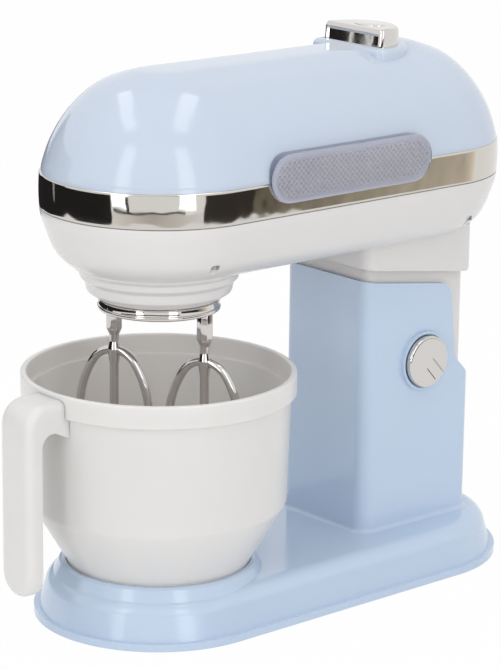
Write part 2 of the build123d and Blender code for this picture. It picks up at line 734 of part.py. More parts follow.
with BuildPart() as rotary_switch:
    with BuildSketch(Plane.YZ.offset(board_x)):
        with Locations((KNOB_Y, KNOB_Z)):
            Rectangle(SWITCH_BODY_W, SWITCH_BODY_W)
    extrude(amount=SWITCH_BODY_T)
    with BuildSketch(Plane.YZ.offset(board_x + SWITCH_BODY_T / 2)):
        with Locations((KNOB_Y, KNOB_Z)):
            Circle(KNOB_SHAFT_R + RUN)
    extrude(amount=SWITCH_BODY_T / 2, mode=Mode.SUBTRACT)
finish(rotary_switch.part, "rotary_switch")

bezel_hole_r = KNOB_BEZEL_R - 2 * KNOB_BEZEL_RIM
with BuildPart() as knob_bezel:
    with BuildSketch(Plane.YZ.offset(COLUMN_W / 2)):
        with Locations((KNOB_Y, KNOB_Z)):
            Circle(KNOB_BEZEL_R)
            Circle(KNOB_R + 2 * TOUCH_GAP, mode=Mode.SUBTRACT)
    extrude(amount=KNOB_BEZEL_T)
    with BuildSketch(Plane.YZ.offset(INNER_W / 2)):
        with Locations((KNOB_Y, KNOB_Z)):
            Circle(bezel_hole_r)
    extrude(amount=COLUMN_WALL)
    with BuildSketch(Plane.YZ.offset(COLUMN_W / 2)):
        with Locations((KNOB_Y, KNOB_Z)):
            Circle(KNOB_BEZEL_R)
    extrude(amount=0.6)
    with BuildSketch(Plane.YZ.offset(INNER_W / 2)):
        with Locations((KNOB_Y, KNOB_Z)):
            Circle(KNOB_SHAFT_R + RUN)
    extrude(amount=COLUMN_WALL + 2, mode=Mode.SUBTRACT)
finish(knob_bezel.part, "knob_bezel")

# ================================================================ knob body
knob_x = COLUMN_W / 2 + 0.6 + TOUCH_GAP
pointer_side = (POINTER_W - NOTCH_W) / 2 + 0.1
with BuildSketch(mode=Mode.PRIVATE) as pointer_line:
    with Locations(Location((KNOB_Y, KNOB_Z, 0), POINTER_ANGLE)):
        with Locations((NOTCH_IN + POINTER_LEN / 2, pointer_side)):
            Rectangle(POINTER_LEN, POINTER_W)
    with Locations((KNOB_Y, KNOB_Z)):
        Circle(KNOB_R - 0.4, mode=Mode.INTERSECT)
pointer_outline = pointer_line.sketch
with BuildPart() as knob:
    with BuildSketch(Plane.YZ.offset(knob_x)):
        with Locations((KNOB_Y, KNOB_Z)):
            Circle(KNOB_R)
    extrude(amount=KNOB_T)
    fillet(knob.edges().group_by(Axis.X)[-1], KNOB_EDGE)
    with BuildSketch(Plane.YZ.offset(board_x + SWITCH_BODY_T / 2)):
        with Locations((KNOB_Y, KNOB_Z)):
            Circle(KNOB_SHAFT_R)
    extrude(amount=knob_x - board_x - SWITCH_BODY_T / 2)
    # Notch from near the middle out through the rim, and the slot that holds the pointer.
    with BuildSketch(Plane.YZ.offset(knob_x + KNOB_T - NOTCH_DEPTH)):
        with Locations(Location((KNOB_Y, KNOB_Z, 0), POINTER_ANGLE)):
            with Locations((NOTCH_IN, 0)):
                Circle(NOTCH_W / 2)
            with Locations((NOTCH_IN + KNOB_R / 2, 0)):
                Rectangle(KNOB_R, NOTCH_W)
    extrude(amount=NOTCH_DEPTH, mode=Mode.SUBTRACT)
    with BuildSketch(Plane.YZ.offset(knob_x + KNOB_T - NOTCH_DEPTH - POINTER_DEPTH)):
        add(pointer_outline)
    extrude(amount=POINTER_DEPTH, mode=Mode.SUBTRACT)
finish(knob.part, "knob")

with BuildPart() as knob_pointer:
    with BuildSketch(Plane.YZ.offset(knob_x + KNOB_T - NOTCH_DEPTH - POINTER_DEPTH)):
        add(pointer_outline)
    extrude(amount=POINTER_DEPTH)
finish(knob_pointer.part, "knob_pointer")

# ================================================================ battery door body
with BuildPart() as battery_door:
    with BuildSketch(Plane.XZ.offset(-door_inner_y)):
        with Locations((0, door_z)):
            RectangleRounded(door_w, door_h, 3 - DOOR_FIT)
    extrude(amount=-DOOR_T)
    with BuildSketch(Plane.XZ.offset(-door_inner_y)):
        with Locations((0, door_screw_z)):
            Circle(SCREW_R)
    extrude(amount=-DOOR_T, mode=Mode.SUBTRACT)
    with BuildSketch(Plane.XZ.offset(-COLUMN_BACK)):
        with Locations((0, door_z - 8)):
            with GridLocations(1, 6, 1, 5):
                SlotOverall(24, 2)
    extrude(amount=0.6, mode=Mode.SUBTRACT)
finish(battery_door.part, "battery_door")

with BuildPart() as door_screw:
    with BuildSketch(Plane.XZ.offset(-COLUMN_BACK)):
        with Locations((0, door_screw_z)):
            Circle(SCREW_HEAD_R - 0.4)
    extrude(amount=-1)
    with BuildSketch(Plane.XZ.offset(-COLUMN_BACK)):
        with Locations((0, door_screw_z)):
            Circle(SCREW_R)
    extrude(amount=DOOR_SCREW_L)
finish(door_screw.part, "door_screw")

# ================================================================ head body
shell_solid = stadium_body(shell_profile(SHELL_R, TRIM_Z, SHELL_H), HEAD_LEN)
skirt_slope = tan(radians(TOP_SLOPE))
skirt_front_z = COLUMN_TOP + SKIRT_GAP + SKIRT_FRONT * skirt_slope
skirt_back_z = skirt_front_z - SKIRT_DEPTH * skirt_slope
well_top = RIM_Z + COLLAR_WELL_H
well_floor = well_top + COLLAR_FLOOR_T
gearbox_spots = [(0, -35.5), (-34, 14), (34, 14), (-24, 56), (24, 56)]
gearbox_screw_z = LID_Z + LID_T - PLATE_SCREW_L


def head_screw_spots():
    """Spots of the four screws that hold the two halves of the head together."""
    turn = radians(HEAD_SCREW_TURN)
    x = HEAD_SCREW_ORBIT * cos(turn)
    back = HEAD_LEN + HEAD_SCREW_ORBIT * sin(2 * turn)
    front = -HEAD_SCREW_ORBIT * sin(turn)
    back_x = HEAD_SCREW_ORBIT * cos(2 * turn)
    return [(-x, front), (x, front), (-back_x, back), (back_x, back)]


def upright_pegs(spots, radius, low, high):
    """Upright cylinders at the given spots, as one loose part."""
    with BuildPart(mode=Mode.PRIVATE) as pegs:
        with BuildSketch(Plane.XY.offset(low)):
            with Locations(*spots):
                Circle(radius)
        extrude(amount=high - low)
    return pegs.part


with BuildPart() as head_lower:
    add(shell_solid)
    # The skirt that hides the top of the column, cut off along the column's slope.
    with BuildSketch(Plane.XY.offset(skirt_back_z - 5)):
        with Locations((0, SKIRT_Y)):
            RectangleRounded(SKIRT_W, SKIRT_DEPTH, SKIRT_CORNER)
    extrude(amount=HEAD_FLOOR_Z + HEAD_WALL - skirt_back_z + 5)
    with BuildSketch(Plane.YZ):
        with BuildLine():
            skirt_edge = FilletPolyline(
                (SKIRT_Y0 - 20, skirt_front_z + 20 * skirt_slope),
                (SKIRT_Y0 + SKIRT_DEPTH - SKIRT_HEEL_R, skirt_back_z + SKIRT_HEEL_R * skirt_slope),
                (SKIRT_Y0 + SKIRT_DEPTH + 1, skirt_back_z + SKIRT_HEEL_R + 1),
                radius=SKIRT_HEEL_R,
            )
            Polyline(
                skirt_edge @ 1,
                (SKIRT_Y0 + SKIRT_DEPTH + 20, skirt_back_z - 20),
                (SKIRT_Y0 - 20, skirt_back_z - 20),
                skirt_edge @ 0,
            )
        make_face()
    extrude(amount=SKIRT_W, both=True, mode=Mode.SUBTRACT)
    # Hollows of the shell and the skirt, and the hole that the drive collar closes.
    add(
        stadium_body(
            shell_profile(SHELL_R - HEAD_WALL, TRIM_Z, SHELL_H - HEAD_WALL),
            HEAD_LEN,
        ),
        mode=Mode.SUBTRACT,
    )
    with BuildSketch(Plane.XY.offset(HEAD_FLOOR_Z - HEAD_WALL)):
        Circle(COLLAR_HOLE_R)
    extrude(amount=4 * HEAD_WALL, mode=Mode.SUBTRACT)
    with BuildSketch(Plane.XY.offset(skirt_back_z - 5)):
        with Locations((0, SKIRT_Y)):
            RectangleRounded(
                SKIRT_W - 2 * SKIRT_WALL,
                SKIRT_DEPTH - 2 * SKIRT_WALL,
                SKIRT_CORNER - SKIRT_WALL,
            )
    extrude(amount=HEAD_FLOOR_Z - skirt_back_z + 5, mode=Mode.SUBTRACT)
    # The back of the skirt is open between its side walls, so that the head can tip up.
    with BuildSketch(Plane.XY.offset(skirt_back_z - 5)):
        with Locations((0, TOWER_BACK)):
            Rectangle(SKIRT_W - 4 * SKIRT_WALL, 2 * SKIRT_CORNER)
    extrude(amount=HEAD_FLOOR_Z - skirt_back_z + 5, mode=Mode.SUBTRACT)
    with BuildSketch(Plane.XY.offset(HEAD_FLOOR_Z)):
        with Locations((0, TOWER_Y)):
            RectangleRounded(WIRE_HOLE_W, WIRE_HOLE_L, 4)
    extrude(amount=HEAD_WALL, mode=Mode.SUBTRACT)
    # Lip that the trim band fits over.
    add(stadium_body(ring_profile(LIP_R - LIP_T, LIP_R, TRIM_Z - 3, TRIM_Z + LIP_H), HEAD_LEN))
    # Posts under the rear of the gearbox plate.
    add(upright_pegs(gearbox_spots[3:], PLATE_POST_R, HEAD_FLOOR_Z + HEAD_WALL / 2, PLATE_Z))
    add(upright_pegs(gearbox_spots[3:], SCREW_R, gearbox_screw_z, PLATE_Z), mode=Mode.SUBTRACT)
    # Screw posts of the head, with the recess for each screw's head.
    post_r = RECESS_R + RECESS_WALL
    add(upright_pegs(head_screw_spots(), post_r, HEAD_FLOOR_Z, TRIM_Z) & shell_solid)
    add(
        upright_pegs(head_screw_spots(), RECESS_R, HEAD_FLOOR_Z, HEAD_FLOOR_Z + HEAD_SCREW_LIFT),
        mode=Mode.SUBTRACT,
    )
    add(
        upright_pegs(head_screw_spots(), SCREW_R, HEAD_FLOOR_Z, TRIM_Z),
        mode=Mode.SUBTRACT,
    )
    # Hinge bosses inside the side walls of the skirt.
    for side in (-1, 1):
        with BuildSketch(Plane.YZ.offset(side * (TOWER_W / 2 + TOUCH_GAP))):
            with Locations((HINGE_Y, HINGE_Z)):
                Circle(HINGE_BOSS_R)
        extrude(amount=side * (SKIRT_W / 2 - SKIRT_WALL / 2 - TOWER_W / 2 - TOUCH_GAP))
        with BuildSketch(Plane.YZ.offset(side * (TOWER_W / 2 + TOUCH_GAP))):
            with Locations((HINGE_Y, HINGE_Z)):
                Circle(HINGE_PIN_R + RUN)
        extrude(
            amount=side * (SKIRT_W / 2 - SKIRT_WALL / 2 - TOWER_W / 2),
            mode=Mode.SUBTRACT,
        )
finish(head_lower.part, "head_lower")

# The collar round the drive, screwed up to the gearbox plate and pulled against the lower shell.
with BuildPart() as drive_collar:
    with BuildSketch(Plane.XZ):
        with BuildLine():
            Polyline(
                (0, RIM_Z),
                (COLLAR_MOUTH_R - 0.8, RIM_Z),
                (COLLAR_MOUTH_R, RIM_Z + 0.4),
                (COLLAR_BASE_R, HEAD_FLOOR_Z - COLLAR_BASE_DROP),
                (COLLAR_STEP_R, HEAD_FLOOR_Z - COLLAR_STEP_DROP),
                (COLLAR_TOP_R, HEAD_FLOOR_Z + 1.4),
                (0, HEAD_FLOOR_Z + 1.4),
                close=True,
            )
        make_face()
    revolve(axis=Axis.Z)
    add(shell_solid, mode=Mode.SUBTRACT)
    with BuildSketch(Plane.XZ):
        with BuildLine():
            Polyline(
                (0, well_floor),
                (COLLAR_BASE_R - 2 * COLLAR_WALL, well_floor),
                (COLLAR_STEP_R - 1.4 * COLLAR_WALL, HEAD_FLOOR_Z - COLLAR_STEP_DROP + 1),
                (COLLAR_HOLE_R, HEAD_FLOOR_Z + 2),
                (0, HEAD_FLOOR_Z + 2),
                close=True,
            )
        make_face()
    revolve(axis=Axis.Z, mode=Mode.SUBTRACT)
    with BuildSketch(Plane.XY.offset(RIM_Z)):
        Circle(COLLAR_WELL_R)
    extrude(amount=COLLAR_WELL_H, mode=Mode.SUBTRACT)
    # Hub of the lower shaft bearing and the posts under the front of the gearbox plate.
    with BuildSketch(Plane.XY.offset(well_top)):
        Circle(BUSH_R + 2)
    extrude(amount=COLLAR_FLOOR_T + SHAFT_HUB_H)
    with BuildSketch(Plane.XY.offset(well_top)):
        Circle(BUSH_R)
    extrude(amount=COLLAR_FLOOR_T + SHAFT_HUB_H, mode=Mode.SUBTRACT)
    add(upright_pegs(gearbox_spots[:3], PLATE_POST_R, HEAD_FLOOR_Z - COLLAR_STEP_DROP + 0.5, PLATE_Z))
    add(upright_pegs(gearbox_spots[:3], SCREW_R, gearbox_screw_z, PLATE_Z), mode=Mode.SUBTRACT)
finish(drive_collar.part, "drive_collar")

with BuildPart() as trim_band:
    with BuildSketch(Plane.XZ, mode=Mode.PRIVATE) as band_half:
        with BuildLine():
            Polyline(
                (HEAD_R - TRIM_T, TRIM_Z),
                (HEAD_R - 0.5, TRIM_Z),
                (HEAD_R, TRIM_Z + 0.9),
                (HEAD_R, DOME_Z - 0.9),
                (HEAD_R - 0.5, DOME_Z),
                (HEAD_R - TRIM_T, DOME_Z),
                close=True,
            )
        make_face()
    add(stadium_body(band_half.sketch_local, HEAD_LEN))
band_solid = trim_band.part
finish(trim_band.part, "trim_band")

lamp_ys = [LENS_Y + LAMP_PITCH * (i - (LAMP_COUNT - 1) / 2) for i in range(LAMP_COUNT)]
peg_ys = [LENS_Y - PEG_SPACING / 2, LENS_Y + PEG_SPACING / 2]
lens_z = HEAD_FLOOR_Z + LENS_Z
peg_z = lens_z + PEG_LIFT
lamp_board_x = LENS_FACE - PEG_DEPTH + 2.8
crown = HEAD_FLOOR_Z + SHELL_H + TRIM_H + DOME_H
board_z = crown - BUTTON_BOARD_DROP
button_posts = side_spots(BUTTON_W / 2 + 8.0, (BUTTON_FRONT + 4, BUTTON_FRONT + 20))


def side_pegs(ys, radius, near, far):
    """Pegs along X on both sides of the head, at the height of the lens pegs."""
    with BuildPart(mode=Mode.PRIVATE) as pegs:
        for side in (-1, 1):
            with BuildSketch(Plane.YZ.offset(side * near)):
                with Locations(*[(y, peg_z) for y in ys]):
                    Circle(radius)
            extrude(amount=side * (far - near))
    return pegs.part


with BuildPart() as head_upper:
    add(dome_solid)
    add(
        stadium_body(dome_profile(DOME_R - HEAD_WALL, DOME_Z, DOME_H - HEAD_WALL), HEAD_LEN),
        mode=Mode.SUBTRACT,
    )
    add(stadium_body(ring_profile(LIP_R - LIP_T, LIP_R, DOME_Z - LIP_H, DOME_Z + 2), HEAD_LEN))
    # Screw posts of the head and of the button board, down from the dome.
    add(upright_pegs(head_screw_spots(), DOME_POST_R, TRIM_Z, DOME_Z))
    add(upright_pegs(head_screw_spots(), DOME_POST_R, DOME_Z, DOME_TOP) & dome_solid)
    add(
        upright_pegs(head_screw_spots(), SCREW_R, TRIM_Z, HEAD_FLOOR_Z + HEAD_SCREW_LIFT + HEAD_SCREW_L),
        mode=Mode.SUBTRACT,
    )
    add(upright_pegs(button_posts, BUTTON_POST_R, board_z, DOME_TOP) & dome_solid)
    # Hole for the button's sleeve, peg holes and lamp holes.
    with BuildSketch(Plane.XY.offset(board_z + 4)):
        add(d_outline(TOUCH_GAP + BEZEL_SLEEVE_T))
    extrude(amount=BUTTON_BOARD_DROP, mode=Mode.SUBTRACT)
    add(side_pegs(peg_ys, PEG_R, HEAD_R - 12, HEAD_R), mode=Mode.SUBTRACT)
    add(side_pegs(lamp_ys, LAMP_R + SLIP, HEAD_R - 12, HEAD_R), mode=Mode.SUBTRACT)
finish(head_upper.part, "head_upper")

# The clear lens on each side fits the dome and the band behind it.
with BuildPart() as lens_right:
    with BuildSketch(Plane.YZ.offset(LENS_FACE - LENS_DEPTH)):
        with Locations((LENS_Y, lens_z)):
            RectangleRounded(LENS_LEN, LENS_H, LENS_CORNER)
    extrude(amount=LENS_DEPTH)
    fillet(lens_right.edges().group_by(Axis.X)[-1], LENS_EDGE)
    add(dome_solid, mode=Mode.SUBTRACT)
    add(
        stadium_body(ring_profile(0, HEAD_R, TRIM_Z, DOME_Z), HEAD_LEN),
        mode=Mode.SUBTRACT,
    )
    with BuildSketch(Plane.YZ.offset(LENS_FACE - PEG_DEPTH)):
        with Locations(*[(y, peg_z) for y in peg_ys]):
            Circle(PEG_R)
    extrude(amount=PEG_DEPTH - LENS_PROUD)
finish(lens_right.part, "lens_right")

with BuildPart() as lens_left:
    add(mirror(lens_right.part, about=Plane.YZ, mode=Mode.PRIVATE))
finish(lens_left.part, "lens_left")

with BuildPart() as lamp_boards:
    for side in (-1, 1):
        with BuildSketch(Plane.YZ.offset(side * (lamp_board_x - LAMP_BOARD_T))):
            with Locations((LENS_Y, peg_z)):
                Rectangle(LAMP_BOARD_LEN, LAMP_BOARD_H)
            with Locations(*[(y, peg_z) for y in peg_ys]):
                Circle(PEG_R, mode=Mode.SUBTRACT)
        extrude(amount=side * LAMP_BOARD_T)
finish(lamp_boards.part, "lamp_boards")

with BuildPart() as lamps:
    add(side_pegs(lamp_ys, LAMP_R, lamp_board_x, lamp_board_x + LAMP_LEN))
finish(lamps.part, "lamps")

with BuildPart() as button_bezel:
    with BuildSketch(Plane.XY.offset(BEZEL_TOP - BUTTON_SLEEVE_H)):
        add(d_outline(BEZEL_RIM))
    extrude(amount=BUTTON_SLEEVE_H)
    fillet(button_bezel.edges().group_by(Axis.Z)[-1], BEZEL_ROUND)
    add(dome_solid, mode=Mode.SUBTRACT)
    with BuildSketch(Plane.XY.offset(BEZEL_TOP - BUTTON_SLEEVE_H)):
        add(d_outline(TOUCH_GAP + BEZEL_SLEEVE_T))
    extrude(amount=BUTTON_SLEEVE_H)
    with BuildSketch(Plane.XY.offset(BEZEL_TOP - BUTTON_SLEEVE_H)):
        add(d_outline(TOUCH_GAP))
    extrude(amount=BUTTON_SLEEVE_H, mode=Mode.SUBTRACT)
finish(button_bezel.part, "button_bezel")

button_y = BUTTON_FRONT + BUTTON_W / 4 + 3.0
switch_top = board_z + SWITCH_H + SWITCH_PLUNGER
button_top = BEZEL_TOP + BUTTON_RISE
with BuildPart() as button_board:
    with BuildSketch(Plane.XY.offset(board_z - BOARD_T)):
        with Locations((0, BUTTON_FRONT + 12)):
            RectangleRounded(BUTTON_W + 24, BUTTON_BOARD_L, 3)
    extrude(amount=BOARD_T)
finish(button_board.part, "button_board")

with BuildPart() as button_switch:
    with BuildSketch(Plane.XY.offset(board_z)):
        with Locations((0, button_y)):
            Rectangle(SWITCH_W, SWITCH_W)
    extrude(amount=SWITCH_H)
    with BuildSketch(Plane.XY.offset(board_z + SWITCH_H)):
        with Locations((0, button_y)):
            Circle(SWITCH_W * 0.28)
    extrude(amount=SWITCH_PLUNGER)
finish(button_switch.part, "button_switch")

spring_h = button_top - BUTTON_WALL - board_z - 2 * SPRING_WIRE_R
spring_low = board_z + SPRING_WIRE_R
with BuildPart() as button_spring:
    with BuildLine(Location((0, button_y, spring_low))):
        coil = Helix(pitch=spring_h / SPRING_TURNS, height=spring_h, radius=SPRING_R)
    with BuildSketch(Plane(origin=coil @ 0, z_dir=coil % 0)):
        Circle(SPRING_WIRE_R)
    sweep(path=coil)
finish(button_spring.part, "button_spring")

# ================================================================ top button body
with BuildPart() as top_button:
    with BuildSketch(Plane.XY.offset(BEZEL_TOP - BUTTON_SLEEVE_H)):
        add(d_outline(0))
    extrude(amount=BUTTON_SLEEVE_H + BUTTON_RISE)
    fillet(top_button.edges().group_by(Axis.Z)[-1], BUTTON_EDGE)
    with BuildSketch(Plane.XY.offset(BEZEL_TOP - BUTTON_SLEEVE_H - TOUCH_GAP - BUTTON_FLANGE_T)):
        add(d_outline(BUTTON_FLANGE))
    extrude(amount=BUTTON_FLANGE_T)
    with BuildSketch(Plane.XY.offset(BEZEL_TOP - BUTTON_SLEEVE_H - TOUCH_GAP - BUTTON_FLANGE_T)):
        add(d_outline(0))
    extrude(amount=BUTTON_FLANGE_T + 2 * TOUCH_GAP)
    with BuildSketch(Plane.XY.offset(BEZEL_TOP - BUTTON_SLEEVE_H - TOUCH_GAP - BUTTON_FLANGE_T)):
        add(d_outline(-BUTTON_WALL))
    extrude(
        amount=BUTTON_SLEEVE_H + BUTTON_RISE + TOUCH_GAP + BUTTON_FLANGE_T - BUTTON_WALL,
        mode=Mode.SUBTRACT,
    )
    with BuildSketch(Plane.XY.offset(switch_top + BUTTON_TRAVEL + TOUCH_GAP)):
        with Locations((0, button_y)):
            Circle(BUTTON_STEM_R)
    extrude(amount=button_top - BUTTON_WALL / 2 - switch_top - BUTTON_TRAVEL - TOUCH_GAP)
finish(top_button.part, "top_button")

# ---------------------------------------------------------------- gearbox, in the head body
with BuildPart() as gearbox_plate:
    add(stadium_body(ring_profile(0, PLATE_R, PLATE_Z, PLATE_TOP), PLATE_LEN))
    with BuildSketch(Plane.XY.offset(PLATE_Z)):
        Circle(BUSH_R)
        with Locations(*gearbox_spots):
            Circle(SCREW_R)
    extrude(amount=PLATE_T, mode=Mode.SUBTRACT)
finish(gearbox_plate.part, "gearbox_plate")

with BuildPart() as gearbox_lid:
    add(stadium_body(ring_profile(0, LID_R, LID_Z, LID_Z + LID_T), PLATE_LEN))
    add(upright_pegs(gearbox_spots, PLATE_POST_R, PLATE_TOP, LID_Z))
    add(upright_pegs(gearbox_spots, SCREW_R, PLATE_TOP, LID_Z + LID_T), mode=Mode.SUBTRACT)
    with BuildSketch(Plane.XY.offset(LID_Z)):
        with Locations((0, MOTOR_Y)):
            Circle(MOTOR_NECK_R)
    extrude(amount=LID_T, mode=Mode.SUBTRACT)
finish(gearbox_lid.part, "gearbox_lid")

with BuildPart() as gearbox_screws:
    add(upright_pegs(gearbox_spots, SCREW_R, gearbox_screw_z, LID_Z + LID_T))
    add(upright_pegs(gearbox_spots, SCREW_HEAD_R, LID_Z + LID_T, LID_Z + LID_T + SCREW_HEAD_T))
finish(gearbox_screws.part, "gearbox_screws")

with BuildPart() as shaft_bushes:
    bush_tops = (well_floor + SHAFT_HUB_H, PLATE_TOP)
    bush_feet = (well_top, PLATE_Z)
    for low, high in zip(bush_feet, bush_tops):
        add(upright_pegs([(0, 0)], BUSH_R, low, high))
        add(upright_pegs([(0, 0)], BUSH_FLANGE_R, high, high + BUSH_FLANGE_T))
    with BuildSketch(Plane.XY.offset(RIM_Z)):
        Circle(SHAFT_R + RUN)
    extrude(amount=PLATE_TOP + BUSH_FLANGE_T - RIM_Z, mode=Mode.SUBTRACT)
finish(shaft_bushes.part, "shaft_bushes")

with BuildPart() as motor:
    with BuildSketch(Plane.XY.offset(LID_Z + LID_T)):
        with Locations((0, MOTOR_Y)):
            Circle(MOTOR_R)
    extrude(amount=MOTOR_H)
    fillet(motor.edges().group_by(Axis.Z)[-1], 1.2)
    with BuildSketch(Plane.XY.offset(LID_Z + LID_T - MOTOR_NECK_H)):
        with Locations((0, MOTOR_Y)):
            Circle(MOTOR_NECK_R)
    extrude(amount=MOTOR_NECK_H)
    with BuildSketch(Plane.XY.offset(LID_Z + LID_T - MOTOR_NECK_H)):
        with Locations((0, MOTOR_Y)):
            Circle(MOTOR_SHAFT_R + RUN)
    extrude(amount=MOTOR_NECK_H + 8, mode=Mode.SUBTRACT)
finish(motor.part, "motor")

screw_seat_z = HEAD_FLOOR_Z + HEAD_SCREW_LIFT
with BuildPart() as head_screws:
    add(upright_pegs(head_screw_spots(), SCREW_R, screw_seat_z, screw_seat_z + HEAD_SCREW_L))
    add(
        upright_pegs(head_screw_spots(), RECESS_R - 0.2, screw_seat_z - SCREW_HEAD_T, screw_seat_z),
    )
finish(head_screws.part, "head_screws")

# ================================================================ carrier body
orbit = [
    (ORBIT_R * cos(radians(ORBIT_ANGLE + turn)), ORBIT_R * sin(radians(ORBIT_ANGLE + turn)))
    for turn in (0, 180)
]
clip_z = GEAR_Z + GEAR_T
with BuildPart() as carrier:
    add(upright_pegs([(0, 0)], CARRIER_R, CARRIER_Z, RING_TOP))
    add(upright_pegs(orbit, SOCKET_R, RING_TOP, RING_TOP + SOCKET_H))
    add(upright_pegs([(0, 0)], HUB_R, RING_TOP, RING_TOP + SOCKET_H))
    add(
        upright_pegs(orbit, BEATER_SHANK_R + RUN, CARRIER_Z, RING_TOP + SOCKET_H - SOCKET_TOP),
        mode=Mode.SUBTRACT,
    )
    add(
        upright_pegs([(0, 0)], SHAFT_R, CARRIER_Z + 1, RING_TOP + SOCKET_H),
        mode=Mode.SUBTRACT,
    )
finish(carrier.part, "carrier")

with BuildPart() as carrier_ring:
    with BuildSketch(Plane.XZ):
        with BuildLine():
            Polyline(
                (CARRIER_R, CARRIER_Z),
                (RING_LIP_R - RING_LIP_T, CARRIER_Z),
                (RING_LIP_R - RING_LIP_T, RING_TOP - RING_H),
                (RING_LIP_R - 0.3, RING_TOP - RING_H),
                (RING_LIP_R, RING_TOP - RING_H + 0.3),
                (RING_LIP_R, RING_TOP - RING_H + 1.0),
                (RING_WAIST_R, RING_TOP - RING_H + 1.6),
                (RING_WAIST_R, RING_TOP - 3.6),
                (RING_R, RING_TOP - 0.9),
                (RING_R, RING_TOP - 0.3),
                (RING_R - 0.3, RING_TOP),
                (CARRIER_R, RING_TOP),
                close=True,
            )
        make_face()
    revolve(axis=Axis.Z)
finish(carrier_ring.part, "carrier_ring")

with BuildPart() as carrier_shaft:
    add(upright_pegs([(0, 0)], SHAFT_R, CARRIER_Z + 1, clip_z + 2 * CLIP_T))
    with BuildSketch(Plane.XY.offset(clip_z)):
        Circle(SHAFT_R)
        Circle(SHAFT_R - 0.4, mode=Mode.SUBTRACT)
    extrude(amount=CLIP_T, mode=Mode.SUBTRACT)
finish(carrier_shaft.part, "carrier_shaft")

with BuildPart() as carrier_gear:
    with BuildSketch(Plane.XY.offset(GEAR_Z)):
        add(gear_outline(GEAR_TEETH, 0))
    extrude(amount=GEAR_T)
    add(upright_pegs([(0, 0)], BUSH_R, PLATE_TOP + BUSH_FLANGE_T + TOUCH_GAP, GEAR_Z))
    with BuildSketch(Plane.XY.offset(GEAR_Z - 1)):
        with PolarLocations(GEAR_PITCH_R * 0.58, 6):
            Circle(GEAR_PITCH_R * 0.19)
    extrude(amount=GEAR_T + 1, mode=Mode.SUBTRACT)
    add(upright_pegs([(0, 0)], SHAFT_R, PLATE_TOP, clip_z), mode=Mode.SUBTRACT)
finish(carrier_gear.part, "carrier_gear")

with BuildPart() as shaft_clip:
    with BuildSketch(Plane.XY.offset(clip_z)):
        Circle(CLIP_R)
        Circle(SHAFT_R - 0.4, mode=Mode.SUBTRACT)
        with Locations((0, CLIP_R)):
            Rectangle(3, CLIP_R, mode=Mode.SUBTRACT)
    extrude(amount=CLIP_T)
finish(shaft_clip.part, "shaft_clip")

# ================================================================ motor pinion body
with BuildPart() as motor_shaft:
    add(upright_pegs([(0, MOTOR_Y)], MOTOR_SHAFT_R, GEAR_Z - 0.6, LID_Z + LID_T + 6))
finish(motor_shaft.part, "motor_shaft")

with BuildPart() as motor_pinion:
    with BuildSketch(Plane.XY.offset(GEAR_Z)):
        with Locations((0, MOTOR_Y)):
            add(gear_outline(PINION_TEETH, 10))
            Circle(MOTOR_SHAFT_R, mode=Mode.SUBTRACT)
    extrude(amount=GEAR_T + 1)
finish(motor_pinion.part, "motor_pinion")

# ================================================================ beater bodies
sleeve_top = CARRIER_Z - TOUCH_GAP
sleeve_low = sleeve_top - BEATER_SLEEVE_L
neck_top = sleeve_low - BEATER_CONE_L
hoop_top = neck_top - BEATER_NECK_L
hoop_z = hoop_top - BEATER_HOOP_H / 2


def beater(turn):
    """One beater, its flat hoop standing in the plane through the carrier's axis."""
    here = Plane.XY.rotated((0, 0, turn))
    spot = here.from_local_coords(Vector(ORBIT_R, 0, 0))
    shaft_plane = Plane(origin=spot, x_dir=here.x_dir, z_dir=(0, 0, 1))
    hoop_plane = Plane(origin=spot, x_dir=here.x_dir, z_dir=-here.y_dir)
    with BuildPart(mode=Mode.PRIVATE) as body:
        with BuildSketch(shaft_plane.offset(sleeve_low)):
            RegularPolygon(BEATER_SLEEVE_R, 8)
        extrude(amount=BEATER_SLEEVE_L)
        with BuildSketch(shaft_plane.offset(neck_top)):
            Circle(BEATER_NECK_R)
        with BuildSketch(shaft_plane.offset(sleeve_low)):
            Circle(BEATER_SLEEVE_R - 0.4)
        loft()
        with BuildSketch(hoop_plane):
            with Locations((0, hoop_z)):
                Ellipse(BEATER_HOOP_W / 2, BEATER_HOOP_H / 2)
                Ellipse(
                    BEATER_HOOP_W / 2 - BEATER_WIRE_W,
                    BEATER_HOOP_H / 2 - BEATER_WIRE_W,
                    mode=Mode.SUBTRACT,
                )
        extrude(amount=BEATER_WIRE_T / 2, both=True)
        with BuildSketch(shaft_plane.offset(hoop_top - BEATER_HOOP_H + BEATER_WIRE_W / 2)):
            Circle(BEATER_NECK_R)
        extrude(amount=neck_top - hoop_top + BEATER_HOOP_H - BEATER_WIRE_W / 2)
        with BuildSketch(shaft_plane.offset(sleeve_top)):
            Circle(BEATER_SHANK_R)
        extrude(amount=-BEATER_SHANK_SET, mode=Mode.SUBTRACT)
    return body.part


def beater_shank(spot):
    """The steel shank in the top of a beater, rounded where it enters its socket."""
    with BuildPart(mode=Mode.PRIVATE) as body:
        add(upright_pegs([spot], BEATER_SHANK_R, sleeve_top - BEATER_SHANK_SET, sleeve_top + BEATER_SHANK_L))
        fillet(body.edges().group_by(Axis.Z)[-1], 0.8)
    return body.part


with BuildPart() as beater_right:
    add(beater(ORBIT_ANGLE))
finish(beater_right.part, "beater_right")

with BuildPart() as beater_left:
    add(beater(ORBIT_ANGLE + 180))
finish(beater_left.part, "beater_left")

with BuildPart() as beater_right_shank:
    add(beater_shank(orbit[0]))
finish(beater_right_shank.part, "beater_right_shank")

with BuildPart() as beater_left_shank:
    add(beater_shank(orbit[1]))
finish(beater_left_shank.part, "beater_left_shank")

